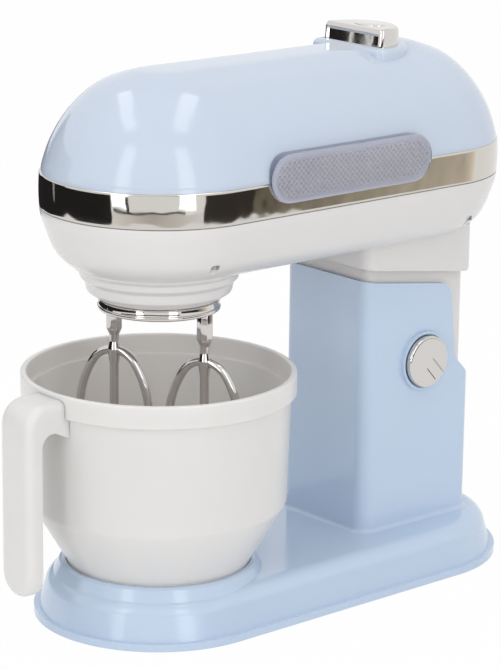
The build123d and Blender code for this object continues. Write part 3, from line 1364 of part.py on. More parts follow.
# ================================================================ bowl body
chamfer_z = SEAT_FLOOR + BOWL_CHAMFER_TOP
slant_foot_z = SEAT_FLOOR + BOWL_CHAMFER_FOOT
band_z = BOWL_TOP - BAND_DEPTH
wall_r = BOWL_R - BAND_STEP
with BuildPart(mode=Mode.PRIVATE) as bowl_solid:
    with BuildSketch(Plane.XZ):
        with BuildLine():
            slant = FilletPolyline(
                (wall_r, band_z),
                (wall_r - BOWL_DRAFT, chamfer_z),
                (BOWL_CHAMFER_R, slant_foot_z),
                (BOWL_FOOT_R, SEAT_FLOOR + BOWL_FOOT_H),
                (BOWL_FOOT_R, SEAT_FLOOR),
                radius=4.0,
            )
            Polyline(
                slant @ 0,
                (BOWL_R, band_z + 0.6),
                (BOWL_R, BOWL_TOP - 0.6),
                (BOWL_R - 0.6, BOWL_TOP),
                (0, BOWL_TOP),
                (0, SEAT_FLOOR),
                slant @ 1,
            )
        make_face()
    revolve(axis=Axis.Z)

grip_out = -(BOWL_R + HANDLE_REACH)
grip_in = grip_out + HANDLE_T
handle_top = BOWL_TOP - HANDLE_DROP
handle_low = handle_top - HANDLE_LEN
arm_low = handle_top - HANDLE_ARM_H
with BuildPart(mode=Mode.PRIVATE) as handle_solid:
    with BuildSketch(Plane.YZ):
        with BuildLine():
            grip_line = FilletPolyline(
                (-wall_r + 4, handle_top),
                (grip_out, handle_top),
                (grip_out, handle_low),
                radius=HANDLE_BEND_R,
            )
            Polyline(
                grip_line @ 1,
                (grip_in, handle_low),
                (grip_in, arm_low + 1.5),
            )
            ThreePointArc(
                (grip_in, arm_low + 1.5),
                (grip_in + 8, arm_low + 0.4),
                (-wall_r + 4, arm_low - 5),
            )
            Line((-wall_r + 4, arm_low - 5), grip_line @ 0)
        make_face()
    extrude(amount=HANDLE_W / 2, both=True)
    # Round lower end, seen from the front.
    with BuildSketch(Plane.XZ.offset(-grip_out + 1)):
        with Locations((0, handle_low - 20)):
            Rectangle(2 * HANDLE_W, 40 + HANDLE_W)
        with Locations((0, handle_low + HANDLE_W / 2)):
            Circle(HANDLE_W / 2, mode=Mode.SUBTRACT)
        with Locations((0, handle_low + HANDLE_W / 2 + HANDLE_W)):
            Rectangle(HANDLE_W, 2 * HANDLE_W, mode=Mode.SUBTRACT)
    extrude(amount=-HANDLE_T - 3, mode=Mode.SUBTRACT)
    round_edges = handle_solid.edges().filter_by_position(Axis.Y, grip_out - 0.01, grip_out + 0.01)
    fillet(round_edges, HANDLE_EDGE)
    # The grip and the arm are hollow, open toward the bowl.
    with BuildSketch(Plane.YZ):
        with BuildLine():
            hollow_line = FilletPolyline(
                (-wall_r + 1, handle_top - HANDLE_WALL),
                (grip_out + HANDLE_WALL, handle_top - HANDLE_WALL),
                (grip_out + HANDLE_WALL, handle_low + HANDLE_W / 2),
                radius=HANDLE_BEND_R - HANDLE_WALL,
            )
            Polyline(
                hollow_line @ 1,
                (grip_in + 0.5, handle_low + HANDLE_W / 2),
                (grip_in + 0.5, arm_low + 1.5 + HANDLE_WALL),
                (-wall_r + 1, arm_low - 4 + HANDLE_WALL),
                hollow_line @ 0,
            )
        make_face()
    extrude(amount=HANDLE_W / 2 - HANDLE_WALL, both=True, mode=Mode.SUBTRACT)
    with BuildSketch(Plane.XZ.offset(-grip_in - 0.5)):
        with Locations((0, handle_low + HANDLE_W / 2)):
            Circle(HANDLE_W / 2 - HANDLE_WALL)
    extrude(amount=HANDLE_T - HANDLE_WALL + 0.5, mode=Mode.SUBTRACT)

with BuildPart() as bowl:
    add(handle_solid.part)
    add(bowl_solid.part)
    # Inside: a ledge under the band, the wall, the slanted part and the floor.
    with BuildSketch(Plane.XZ):
        with BuildLine():
            inner = FilletPolyline(
                (wall_r - BOWL_WALL, band_z + 2),
                (wall_r - BOWL_DRAFT - BOWL_WALL, chamfer_z + 1),
                (BOWL_CHAMFER_R - BOWL_WALL * 0.7, slant_foot_z + BOWL_WALL * 0.6),
                (BOWL_FOOT_R - BOWL_WALL - 1, SEAT_FLOOR + BOWL_WALL),
                (0, SEAT_FLOOR + BOWL_WALL),
                radius=4.0,
            )
            Polyline(
                inner @ 1,
                (0, BOWL_TOP + 1),
                (BOWL_R - BAND_WALL + 0.6, BOWL_TOP + 1),
                (BOWL_R - BAND_WALL + 0.6, BOWL_TOP),
                (BOWL_R - BAND_WALL, BOWL_TOP - 0.6),
                (BOWL_R - BAND_WALL, band_z + 2),
                inner @ 0,
            )
        make_face()
    revolve(axis=Axis.Z, mode=Mode.SUBTRACT)
finish(bowl.part, "bowl")
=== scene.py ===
"""Toy stand mixer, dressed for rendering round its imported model.

Metres in the scene, millimetres inside the classes. +Z is up, the nose of the head points to -Y,
the column stands at +Y and the knob is on the +X side.
"""

import json
import logging
import math
from dataclasses import dataclass, field
from enum import Enum
from typing import Iterable

import bmesh
import bpy
from mathutils import Matrix, Vector
from mathutils.geometry import interpolate_bezier

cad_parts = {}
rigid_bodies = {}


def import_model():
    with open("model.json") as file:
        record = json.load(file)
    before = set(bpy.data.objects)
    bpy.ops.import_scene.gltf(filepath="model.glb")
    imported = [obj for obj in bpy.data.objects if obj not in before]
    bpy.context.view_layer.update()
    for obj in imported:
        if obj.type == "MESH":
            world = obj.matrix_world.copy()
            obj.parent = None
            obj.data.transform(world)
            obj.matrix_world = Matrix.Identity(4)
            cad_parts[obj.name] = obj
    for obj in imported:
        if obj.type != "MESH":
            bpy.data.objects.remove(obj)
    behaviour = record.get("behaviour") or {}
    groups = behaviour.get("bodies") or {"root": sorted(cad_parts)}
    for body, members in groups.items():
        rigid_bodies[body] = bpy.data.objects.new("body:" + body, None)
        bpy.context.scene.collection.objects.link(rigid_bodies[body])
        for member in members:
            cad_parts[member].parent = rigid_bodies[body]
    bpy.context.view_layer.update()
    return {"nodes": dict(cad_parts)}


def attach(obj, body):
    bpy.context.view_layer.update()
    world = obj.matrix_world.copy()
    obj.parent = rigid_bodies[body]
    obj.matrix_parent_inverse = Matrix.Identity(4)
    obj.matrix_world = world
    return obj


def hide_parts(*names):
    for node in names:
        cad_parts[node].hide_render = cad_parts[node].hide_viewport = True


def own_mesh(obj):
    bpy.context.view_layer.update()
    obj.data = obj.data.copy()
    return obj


log = logging.getLogger("mixer")

MM = 0.001
TOUCH_MM = 1e-3  # within this, points count as lying on one plane
WELD_MM = 2e-3  # within this, doubled points become one
UPRIGHT = (0.0, 0.0, 1.0)
ORIGIN = (0.0, 0.0, 0.0)
Colour = tuple[float, float, float, float]
Point = tuple[float, float]
Spot = tuple[float, float, float]


class Body(str, Enum):
    """The bodies of the toy that the new pieces ride on."""

    BOWL = "bowl"
    HEAD = "head"
    BUTTON = "top_button"
    DRIVE = "drive"
    BEATER_RIGHT = "beater_right"
    BEATER_LEFT = "beater_left"


# ---------------------------------------------------------------- shader nodes and finishes
def linear(code: str) -> Colour:
    """Turn an sRGB hex colour into linear red, green, blue and alpha.

    Args:
        code: The colour, as # and six digits.

    Returns:
        The linear colour.
    """
    channels = [int(code[i : i + 2], 16) / 255 for i in (1, 3, 5)]
    curve = [c / 12.92 if c <= 0.04045 else ((c + 0.055) / 1.055) ** 2.4 for c in channels]
    return (curve[0], curve[1], curve[2], 1.0)


def add_node(
    tree: bpy.types.NodeTree, kind: str, inputs: dict | None = None, **settings: object
) -> bpy.types.Node:
    """Add one shader node with its settings, its values and its incoming links.

    Args:
        tree: Node tree of a material or of the world.
        kind: Type name of the node.
        inputs: Input name or index, with a value or the output socket that feeds it.
        settings: Properties of the node itself.

    Returns:
        The new node.
    """
    node = tree.nodes.new(kind)
    for name, value in settings.items():
        setattr(node, name, value)
    for name, value in (inputs or {}).items():
        if isinstance(value, bpy.types.NodeSocket):
            tree.links.new(value, node.inputs[name])
        else:
            node.inputs[name].default_value = value
    return node


def empty_material(name: str) -> bpy.types.Material:
    """Make a material whose node tree is still empty.

    Args:
        name: Its name.

    Returns:
        The material.
    """
    made = bpy.data.materials.new(name)
    made.use_nodes = True
    made.node_tree.nodes.clear()
    return made


@dataclass(frozen=True)
class Surface:
    """A material in the making: its nodes, its shader and each point's place in metres."""

    tree: bpy.types.NodeTree
    shader: bpy.types.Node
    place: bpy.types.NodeSocket

    def feed(self, name: str, source: bpy.types.NodeSocket) -> None:
        """Link a result to an input of the shader."""
        self.tree.links.new(source, self.shader.inputs[name])

    def vary_colour(self, part: bpy.types.NodeSocket, colour: str, shade: str) -> None:
        """Run the colour from one tone to another as a pattern rises.

        Args:
            part: The pattern.
            colour: Tone where the pattern is low.
            shade: Tone where it is high.
        """
        tones = {0: part, 6: linear(colour), 7: linear(shade)}
        tone = add_node(self.tree, "ShaderNodeMix", tones, data_type="RGBA")
        self.feed("Base Color", tone.outputs[2])

    def vary_gloss(
        self, part: bpy.types.NodeSocket, low: float, high: float, within: Point = (0.0, 1.0)
    ) -> None:
        """Spread the roughness between two values as a pattern rises.

        Args:
            part: The pattern.
            low: Roughness where the pattern is low.
            high: Roughness where it is high.
            within: The pattern's own values that give these two.
        """
        ends = {"From Min": within[0], "From Max": within[1], "To Min": low, "To Max": high}
        gloss = add_node(self.tree, "ShaderNodeMapRange", {"Value": part, **ends})
        self.feed("Roughness", gloss.outputs["Result"])

    def raise_relief(
        self,
        height: bpy.types.NodeSocket,
        depth_mm: float,
        over: bpy.types.NodeSocket | None = None,
    ) -> bpy.types.NodeSocket:
        """Raise a pattern out of the surface.

        Args:
            height: The pattern.
            depth_mm: How far it rises, in millimetres.
            over: A finer relief that it lies on, if any.

        Returns:
            The surface's direction with the relief in it.
        """
        bump = {"Height": height, "Distance": depth_mm * MM}
        if over is not None:
            bump["Normal"] = over
        normal = add_node(self.tree, "ShaderNodeBump", bump).outputs["Normal"]
        self.feed("Normal", normal)
        return normal


@dataclass(frozen=True)
class Finish:
    """What every surface finish has: a name, the record's slot, a colour and its gloss."""

    name: str
    slot: str
    colour: str
    roughness: float = 0.3
    ior: float = 1.5
    metallic: float = 0.0

    def material(self) -> bpy.types.Material:
        """Make the material of this finish on its first use.

        Returns:
            The material.
        """
        ready = bpy.data.materials.get(self.name)
        if ready is not None:
            return ready
        made = empty_material(self.name)
        tree = made.node_tree
        values = {
            "Base Color": linear(self.colour),
            "Roughness": self.roughness,
            "Metallic": self.metallic,
            "IOR": self.ior,
        }
        shader = add_node(tree, "ShaderNodeBsdfPrincipled", values)
        add_node(tree, "ShaderNodeOutputMaterial", {"Surface": shader.outputs["BSDF"]})
        place = add_node(tree, "ShaderNodeTexCoord").outputs["Object"]
        self.texture(Surface(tree, shader, place))
        return made

    def texture(self, surface: Surface) -> None:
        """Add the pattern that the process of making leaves on the surface."""
        raise NotImplementedError


@dataclass(frozen=True)
class MouldedPlastic(Finish):
    """Injection moulded plastic: smooth, with a long faint ripple and a slight flow of tone."""

    shade: str = "#808080"
    ripple_mm: float = 9.0
    ripple_depth_mm: float = 0.006
    grain_mm: float = 0.5
    grain_depth_mm: float = 0.0004
    flow_mm: float = 45.0
    gloss_spread: float = 0.03
    skin_depth_mm: float = 0.0
    skin_share: float = 0.6
    skin_radius: Spot = (1.0, 0.9, 0.8)

    def texture(self, surface: Surface) -> None:
        """Add the flow of tone, the spread of gloss, and the ripple over a fine grain.

        Args:
            surface: The material in the making.
        """
        sizes = ((self.flow_mm, 2.0), (self.grain_mm, 1.0), (self.ripple_mm, 0.0))
        flow, grain, ripple = (
            add_node(
                surface.tree,
                "ShaderNodeTexNoise",
                {"Vector": surface.place, "Scale": 1 / (size * MM), "Detail": detail},
            ).outputs["Fac"]
            for size, detail in sizes
        )
        surface.vary_colour(flow, self.colour, self.shade)
        spread = self.gloss_spread
        surface.vary_gloss(flow, self.roughness - spread, self.roughness + spread)
        fine = surface.raise_relief(grain, self.grain_depth_mm)
        surface.raise_relief(ripple, self.ripple_depth_mm, over=fine)
        if self.skin_depth_mm:
            skin = surface.shader.inputs
            skin["Subsurface Weight"].default_value = self.skin_share
            skin["Subsurface Radius"].default_value = self.skin_radius
            skin["Subsurface Scale"].default_value = self.skin_depth_mm * MM


@dataclass(frozen=True)
class WavedPlastic(Finish):
    """A polished moulding, smooth enough that its reflections show long, low waves."""

    wave_mm: float = 11.0
    wave_depth_mm: float = 0.012

    def texture(self, surface: Surface) -> None:
        """Add the waves that the moulding keeps from its mould.

        Args:
            surface: The material in the making.
        """
        values = {"Vector": surface.place, "Scale": 1 / (self.wave_mm * MM), "Detail": 1.0}
        waves = add_node(surface.tree, "ShaderNodeTexNoise", values)
        surface.raise_relief(waves.outputs["Fac"], self.wave_depth_mm)


@dataclass(frozen=True)
class PlatedPlastic(WavedPlastic):
    """Chrome plating on a moulding: a mirror with a thin haze of handling."""

    metallic: float = 1.0
    haze_mm: float = 3.0
    haze: float = 0.02
    haze_within: Point = (0.4, 0.8)

    def texture(self, surface: Surface) -> None:
        """Add the waves of the moulding under the plating and the haze over it.

        Args:
            surface: The material in the making.
        """
        super().texture(surface)
        values = {"Vector": surface.place, "Scale": 1 / (self.haze_mm * MM), "Detail": 3.0}
        cloud = add_node(surface.tree, "ShaderNodeTexNoise", values).outputs["Fac"]
        surface.vary_gloss(cloud, self.roughness, self.roughness + self.haze, self.haze_within)


@dataclass(frozen=True)
class ClearPlastic(WavedPlastic):
    """Clear moulded acrylic: polished, with faint waves and a trace of colour in its depth."""

    wave_mm: float = 7.0
    wave_depth_mm: float = 0.01

    def texture(self, surface: Surface) -> None:
        """Let light through and add the faint waves of the polished mould."""
        surface.shader.inputs["Transmission Weight"].default_value = 1.0
        super().texture(surface)


@dataclass(frozen=True)
class WorkedMetal(Finish):
    """Bare or zinc plated metal with fine marks drawn out along one direction."""

    metallic: float = 1.0
    mark_mm: float = 0.25
    stretch: float = 12.0
    mark_depth_mm: float = 0.004
    tarnish: str = "#808080"

    def texture(self, surface: Surface) -> None:
        """Add the drawn out marks, and the duller tone that gathers between them.

        Args:
            surface: The material in the making.
        """
        drawn = {"Vector": surface.place, "Scale": (self.stretch, self.stretch, 1.0)}
        along = add_node(surface.tree, "ShaderNodeMapping", drawn).outputs["Vector"]
        scale = 1 / (self.mark_mm * self.stretch * MM)
        values = {"Vector": along, "Scale": scale, "Detail": 3.0}
        marks = add_node(surface.tree, "ShaderNodeTexNoise", values).outputs["Fac"]
        surface.vary_colour(marks, self.colour, self.tarnish)
        surface.raise_relief(marks, self.mark_depth_mm)


@dataclass(frozen=True)
class SpeckledPlastic(Finish):
    """Matt moulded or coated surface with an eroded texture: rubber, resist, sleeves, acetal."""

    shade: str = "#202020"
    speck_mm: float = 0.6
    speck_depth_mm: float = 0.02

    def texture(self, surface: Surface) -> None:
        """Add the eroded texture of the mould in tone and relief.

        Args:
            surface: The material in the making.
        """
        values = {"Vector": surface.place, "Scale": 1 / (self.speck_mm * MM)}
        cells = add_node(surface.tree, "ShaderNodeTexVoronoi", values, feature="SMOOTH_F1")
        specks = cells.outputs["Distance"]
        surface.vary_colour(specks, self.colour, self.shade)
        surface.raise_relief(specks, self.speck_depth_mm)


# Gloss ABS out of a polished mould: a soft white that mirrors the lamps faintly.
WHITE_ABS = MouldedPlastic(
    "white_abs_moulded", "white_plastic", "#e4e2e1", 0.2, 1.54, shade="#dfdddc"
)
# The same ABS dyed pastel blue; the dye flows a little, which the long tone shows.
BLUE_ABS = MouldedPlastic(
    "blue_abs_moulded", "blue_plastic", "#c6d7ec", 0.15, 1.54, shade="#c1d3e9"
)
# The same blue ABS on the dome, with a higher polish; its paler colour is painted light, standing
# in for the brighter light and broad white sheen on the dome.
BLUE_ABS_PAINTED_SHEEN = MouldedPlastic(
    "blue_abs_moulded_painted_sheen", "blue_plastic", "#c9d4e4", 0.12, 1.54, shade="#c4d0e1"
)
# Polypropylene scatters light under its skin, so its shadows are soft and its gloss is wider.
BOWL_PP = MouldedPlastic(
    "white_polypropylene_moulded",
    "bowl_plastic",
    "#e6e4e2",
    0.3,
    1.49,
    shade="#e2e0de",
    ripple_mm=14.0,
    ripple_depth_mm=0.01,
    skin_depth_mm=6.0,
)
# Bright chrome over copper and nickel on ABS: a neutral, slightly dark mirror.
CHROME_ABS = PlatedPlastic(
    "chrome_plated_abs", "chrome_plating", "#d2cfcc", 0.035, wave_depth_mm=0.05
)
# The long thin band warps most in its mould, so straight reflections wander along it.
CHROME_BAND = PlatedPlastic(
    "chrome_plated_band", "chrome_plating", "#d0ccc6", 0.06, wave_mm=13.0, wave_depth_mm=0.22
)
# The same plating on the thin beater mouldings, where the waves are shorter.
CHROME_BEATER = PlatedPlastic(
    "chrome_plated_beater", "beater_metal", "#d2cfce", 0.07, wave_mm=4.0, wave_depth_mm=0.006
)
# Clear moulded acrylic of the lamp covers: a polished gloss with the lattice showing through.
CLEAR_ACRYLIC = ClearPlastic("clear_acrylic_moulded", "clear_lens", "#eef0f8", 0.02, 1.49)
# Milky polycarbonate plate behind the clear cover, in its pits: the plate's milky tone, darkened
# there as painted shade.
PRISM_PIT_PAINTED_SHADE = MouldedPlastic(
    "milky_polycarbonate_pits_painted_shade", "clear_lens", "#e8e7eb", 0.12, 1.58, shade="#c8c7ce", ripple_mm=4.0
)
# The same plate along its ridges: the milky tone, lightened there as a painted highlight, so that
# the lattice reads.
PRISM_RIDGE_PAINTED_HIGHLIGHT = MouldedPlastic(
    "milky_polycarbonate_ridges_painted_highlight", "clear_lens", "#f6f6fb", 0.2, 1.58, shade="#f0f0f6", ripple_mm=4.0
)
# Its plain border, an even milky tone that frames the lattice.
PLATE_BORDER = MouldedPlastic(
    "milky_polycarbonate_border", "clear_lens", "#dcdde8", 0.2, 1.58, shade="#d0d2e0", ripple_mm=6.0
)
# Moulded rubber of the feet: near black and quite matt, so it shows almost no highlight.
RUBBER = SpeckledPlastic("moulded_rubber", "foot_rubber", "#1c1c1e", 0.85, 1.52, shade="#2a2a2c")
# Zinc plated and turned steel of screws, pins and shafts: grey, with fine turning marks.
ZINC_STEEL = WorkedMetal("zinc_plated_steel", "screw_steel", "#b4b4b6", 0.3, tarnish="#8f9094")
# Nickel plated spring wire and contact strip: brighter and a little warmer than zinc.
SPRING_STEEL = WorkedMetal(
    "nickel_spring_steel", "contact_metal", "#c8c6c0", 0.25, tarnish="#a8a59c"
)
# Black ABS out of an etched mould: dark, with a soft broken gloss.
BLACK_ABS = SpeckledPlastic(
    "black_abs_etched", "black_plastic", "#121212", 0.55, 1.54, shade="#1c1c1c"
)
# Solder resist on glass fibre board: deep green, its weave showing as a coarse mottle.
BOARD_RESIST = SpeckledPlastic(
    "solder_resist_board", "circuit_board", "#0f4a26", 0.4, 1.52, shade="#15582f", speck_mm=1.4
)
# Shrunk sleeve of the cells: near black film with a satin gloss.
CELL_SLEEVE = SpeckledPlastic(
    "shrunk_cell_sleeve", "battery_sleeve", "#16171b", 0.35, 1.5, shade="#202127"
)
# Cast epoxy of the lamps: pale and glossy, shown as a solid tone.
LAMP_EPOXY = SpeckledPlastic(
    "water_clear_epoxy", "lamp_body", "#f2f1ec", 0.15, 1.55, shade="#e6e5df"
)
# Deep drawn steel can of the motor: light grey with long drawing marks.
MOTOR_STEEL = WorkedMetal("drawn_steel_can", "motor_can", "#bcbcbc", 0.28, tarnish="#9c9c9e")
# Moulded acetal of the gear: a warm white with a waxy, low gloss.
ACETAL = SpeckledPlastic("moulded_acetal", "gear_plastic", "#e6e3da", 0.4, 1.48, shade="#dedbd1")
# Turned brass of bushes and pinion: yellow, with fine turning marks.
BUSH_BRASS = WorkedMetal("turned_brass", "bush_brass", "#d6b577", 0.22, tarnish="#b8965a")


# ---------------------------------------------------------------- shaping helpers
@dataclass
class Section:
    """A drawn half section in millimetres, of straight runs and smooth curves.

    A corner may carry a radius, which is rounded off when the section is drawn.
    """

    points: list[Point] = field(default_factory=list)
    radii: list[float] = field(default_factory=list)

    def to(self, across: float, up: float, radius: float = 0.0) -> "Section":
        """Run straight to a point.

        Args:
            across: Its place across.
            up: Its height.
            radius: Rounds the corner there, where it is above zero.

        Returns:
            The section itself.
        """
        self.points.append((across, up))
        self.radii.append(radius)
        return self

    def through(
        self, points: Iterable[Point], start: Point, end: Point, steps: int = 6
    ) -> "Section":
        """Run on from the last point in one smooth curve.

        Args:
            points: The points that the curve goes through.
            start: Direction in which it leaves the last point.
            end: Direction in which it reaches its own last point.
            steps: Pieces per span.

        Returns:
            The section itself.
        """
        stations = [Vector((*self.points[-1], 0.0))] + [Vector((*p, 0.0)) for p in points]
        last = len(stations) - 1
        spans = [(stations[max(i - 1, 0)], stations[min(i + 1, last)]) for i in range(last + 1)]
        slopes = [(after - before) / 2 for before, after in spans]
        for place, way in ((0, start), (last, end)):
            slopes[place] = Vector((*way, 0.0)).normalized() * slopes[place].length * 2
        for a, b, leave, arrive in zip(stations, stations[1:], slopes, slopes[1:]):
            reach = (b - a).length / 3
            knots = (a, a + leave.normalized() * reach, b - arrive.normalized() * reach, b)
            for point in interpolate_bezier(*knots, steps + 1)[1:]:
                self.to(point.x, point.y)
        return self

    def draw(self, bm: bmesh.types.BMesh, closed: bool, turn: Matrix | None = None) -> list:
        """Draw the section on the XZ plane and round its corners.

        Args:
            bm: Mesh that receives the section.
            closed: Whether its last point joins its first.
            turn: Moves the finished section to another plane.

        Returns:
            The vertices and edges of the section.
        """
        verts = [bm.verts.new((x, 0.0, z)) for x, z in self.points]
        ends = list(zip(verts, verts[1:])) + ([(verts[-1], verts[0])] if closed else [])
        edges = [bm.edges.new(pair) for pair in ends]
        whole = set(verts) | set(edges)
        for vert, radius in zip(verts, self.radii):
            if radius:
                arms = [(e.other_vert(vert).co - vert.co).normalized() for e in vert.link_edges]
                setback = radius * math.tan((math.pi - arms[0].angle(arms[1])) / 2)
                before = set(bm.verts) | set(bm.edges)
                bmesh.ops.bevel(
                    bm,
                    geom=[vert],
                    offset=setback,
                    offset_type="OFFSET",
                    segments=min(4 + round(radius), 20),
                    profile=0.5,
                    affect="VERTICES",
                    material=-1,
                )
                whole |= (set(bm.verts) | set(bm.edges)) - before
        whole = [g for g in whole if g.is_valid]
        if turn is not None:
            bmesh.ops.transform(bm, matrix=turn, verts=only(bmesh.types.BMVert, whole))
        return whole


def only(kind: type, geometry: Iterable) -> list:
    """Pick the elements of one kind out of mixed geometry."""
    return [g for g in geometry if isinstance(g, kind)]


def edges_on(bm: bmesh.types.BMesh, axis: int, level: float) -> list:
    """Find the edges that lie in the plane across an axis (0, 1 or 2) at a level."""
    return [e for e in bm.edges if all(abs(v.co[axis] - level) < TOUCH_MM for v in e.verts)]


def turn_round(
    bm: bmesh.types.BMesh, shape: Section, steps: int = 128, closed: bool = False
) -> list:
    """Draw a section and turn it once round the Z axis.

    Args:
        bm: Mesh that receives it, beside what it already holds.
        shape: The section.
        steps: Pieces of the full turn.
        closed: Whether the section's last point joins its first.

    Returns:
        The new vertices, of which those at the seam and on the axis may be doubled.
    """
    first = set(bm.verts)
    section = shape.draw(bm, closed)
    bmesh.ops.spin(
        bm, geom=section, cent=ORIGIN, axis=UPRIGHT, angle=math.tau, steps=steps, use_merge=True
    )
    return [v for v in bm.verts if v not in first]


def add_rod(bm: bmesh.types.BMesh, radius: float, low: float, high: float, sides: int) -> list:
    """Add a closed upright rod on the Z axis.

    Args:
        bm: Mesh that receives it.
        radius: Its radius.
        low: Height of its foot.
        high: Height of its top.
        sides: Number of its sides.

    Returns:
        Its vertices.
    """
    rod = bmesh.ops.create_cone(
        bm, cap_ends=True, segments=sides, radius1=radius, radius2=radius, depth=high - low
    )["verts"]
    bmesh.ops.translate(bm, vec=(0, 0, (high + low) / 2), verts=rod)
    return rod


def run_round(bm: bmesh.types.BMesh, section: list, length: float, steps: int = 56) -> None:
    """Run a section round both ends and along both sides of a stadium.

    Args:
        bm: Mesh that holds the section, drawn at positive x.
        section: Its vertices and edges.
        length: Distance between the centres of the two round ends.
        steps: Pieces of each half turn.
    """
    for centre, shift in ((0.0, length), (length, -length)):
        turned = bmesh.ops.spin(
            bm, geom=section, cent=(0, centre, 0), axis=UPRIGHT, angle=-math.pi, steps=steps
        )
        edges = only(bmesh.types.BMEdge, turned["geom_last"])
        side = bmesh.ops.extrude_edge_only(bm, edges=edges)["geom"]
        section = only(bmesh.types.BMVert, side) + only(bmesh.types.BMEdge, side)
        bmesh.ops.translate(bm, vec=(0, shift, 0), verts=only(bmesh.types.BMVert, side))
    tidy(bm)


def tidy(bm: bmesh.types.BMesh) -> None:
    """Merge doubled points and turn all faces outward.

    Args:
        bm: Mesh to clean up.
    """
    bmesh.ops.remove_doubles(bm, verts=bm.verts, dist=WELD_MM)
    bmesh.ops.dissolve_degenerate(bm, edges=bm.edges, dist=1e-4)
    bmesh.ops.recalc_face_normals(bm, faces=bm.faces)


def round_edges(bm: bmesh.types.BMesh, edges: list, radius: float, segments: int) -> None:
    """Round off edges by a radius.

    Args:
        bm: Mesh that holds them.
        edges: The edges.
        radius: How far the rounding reaches.
        segments: Pieces across the rounding.
    """
    bmesh.ops.bevel(
        bm,
        geom=edges,
        offset=radius,
        offset_type="OFFSET",
        segments=segments,
        profile=0.5,
        affect="EDGES",
        material=-1,
    )


def hold_flats(bm: bmesh.types.BMesh, area: float, margin: float = 0.3) -> None:
    """Give large flat faces a narrow rim, so that smooth shading leaves them flat."""
    flats = [f for f in bm.faces if f.calc_area() > area]
    bmesh.ops.inset_individual(bm, faces=flats, thickness=margin, use_even_offset=True)


def slab(bm: bmesh.types.BMesh, section: list, way: Spot, low: float, high: float) -> None:
    """Fill a closed flat section and raise it to a closed slab.

    Args:
        bm: Mesh that holds the section.
        section: Its vertices and edges.
        way: Direction across the section.
        low: Where the slab starts in that direction.
        high: Where it ends.
    """
    across = Vector(way)
    face = bmesh.ops.contextual_create(bm, geom=only(bmesh.types.BMEdge, section))["faces"]
    bmesh.ops.translate(bm, vec=across * low, verts=only(bmesh.types.BMVert, section))
    raised = bmesh.ops.extrude_face_region(bm, geom=face, use_keep_orig=True)["geom"]
    bmesh.ops.translate(bm, vec=across * (high - low), verts=only(bmesh.types.BMVert, raised))
    tidy(bm)


def to_mesh(name: str, bm: bmesh.types.BMesh) -> bpy.types.Mesh:
    """Keep a finished shape as a mesh and free it.

    Args:
        name: Name of the mesh.
        bm: The shape.

    Returns:
        The mesh.
    """
    mesh = bpy.data.meshes.new(name)
    bm.to_mesh(mesh)
    bm.free()
    return mesh


def add_object(name: str, data: bpy.types.ID) -> bpy.types.Object:
    """Put a new object at the origin of the scene.

    Args:
        name: Its name.
        data: Its mesh, lamp or camera.

    Returns:
        The object.
    """
    made = bpy.data.objects.new(name, data)
    bpy.context.scene.collection.objects.link(made)
    return made


def stand_at(place: Spot, right: Vector, up: Vector, back: Vector) -> Matrix:
    """Work out where a lamp or camera stands, from its place and its own three directions."""
    return Matrix.Translation(place) @ Matrix((right, up, back)).transposed().to_4x4()


def as_object(
    name: str, bm: bmesh.types.BMesh, *finishes: Finish, crease: float = 40.0
) -> bpy.types.Object:
    """Turn a mesh drawn in millimetres into a smooth shaded object in metres.

    Args:
        name: Name of the piece.
        bm: Its mesh, which is freed.
        finishes: Its surfaces, in the order of its faces' material numbers.
        crease: Angle in degrees above which an edge stays sharp.

    Returns:
        The object, standing at the origin.
    """
    bmesh.ops.scale(bm, vec=(MM, MM, MM), verts=bm.verts)
    mesh = to_mesh(name, bm)
    mesh.shade_smooth()
    mesh.set_sharp_from_angle(angle=math.radians(crease))
    for finish in finishes:
        mesh.materials.append(finish.material())
    return add_object(name, mesh)


def block(bm: bmesh.types.BMesh, low: Spot, high: Spot) -> list:
    """Add a box between two corners.

    Args:
        bm: Mesh that receives it.
        low: Its lowest corner.
        high: Its highest corner.

    Returns:
        Its vertices.
    """
    verts = bmesh.ops.create_cube(bm, size=1.0)["verts"]
    size = [h - l for l, h in zip(low, high)]
    middle = [(h + l) / 2 for l, h in zip(low, high)]
    bmesh.ops.scale(bm, vec=size, verts=verts)
    bmesh.ops.translate(bm, vec=middle, verts=verts)
    return verts


# ---------------------------------------------------------------- sub-assemblies
@dataclass
class SubAssembly:
    """A group of pieces; it dresses the nodes it keeps and adds the pieces it makes."""

    nodes: dict[str, bpy.types.Object]

    def dress(self, finish: Finish, *names: str) -> None:
        """Give a finish to nodes whose shape is already right.

        Args:
            finish: The finish.
            names: The nodes.
        """
        for name in names:
            for slot in self.nodes[name].material_slots:
                slot.material = finish.material()
            log.info("dressed %s in %s", name, finish.name)

    def place(
        self, piece: bpy.types.Object, body: Body, finish: Finish, *stands_for: str
    ) -> bpy.types.Object:
        """Let a piece ride on its body and stand for the nodes that it replaces.

        Args:
            piece: The finished piece.
            body: The body that carries it.
            finish: Its surface; not used.
            stands_for: The nodes that it replaces, if any.

        Returns:
            The piece.
        """
        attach(piece, body.value)
        if stands_for:
            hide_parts(*stands_for)
        log.info("made %s on %s, %d faces", piece.name, body.value, len(piece.data.polygons))
        return piece


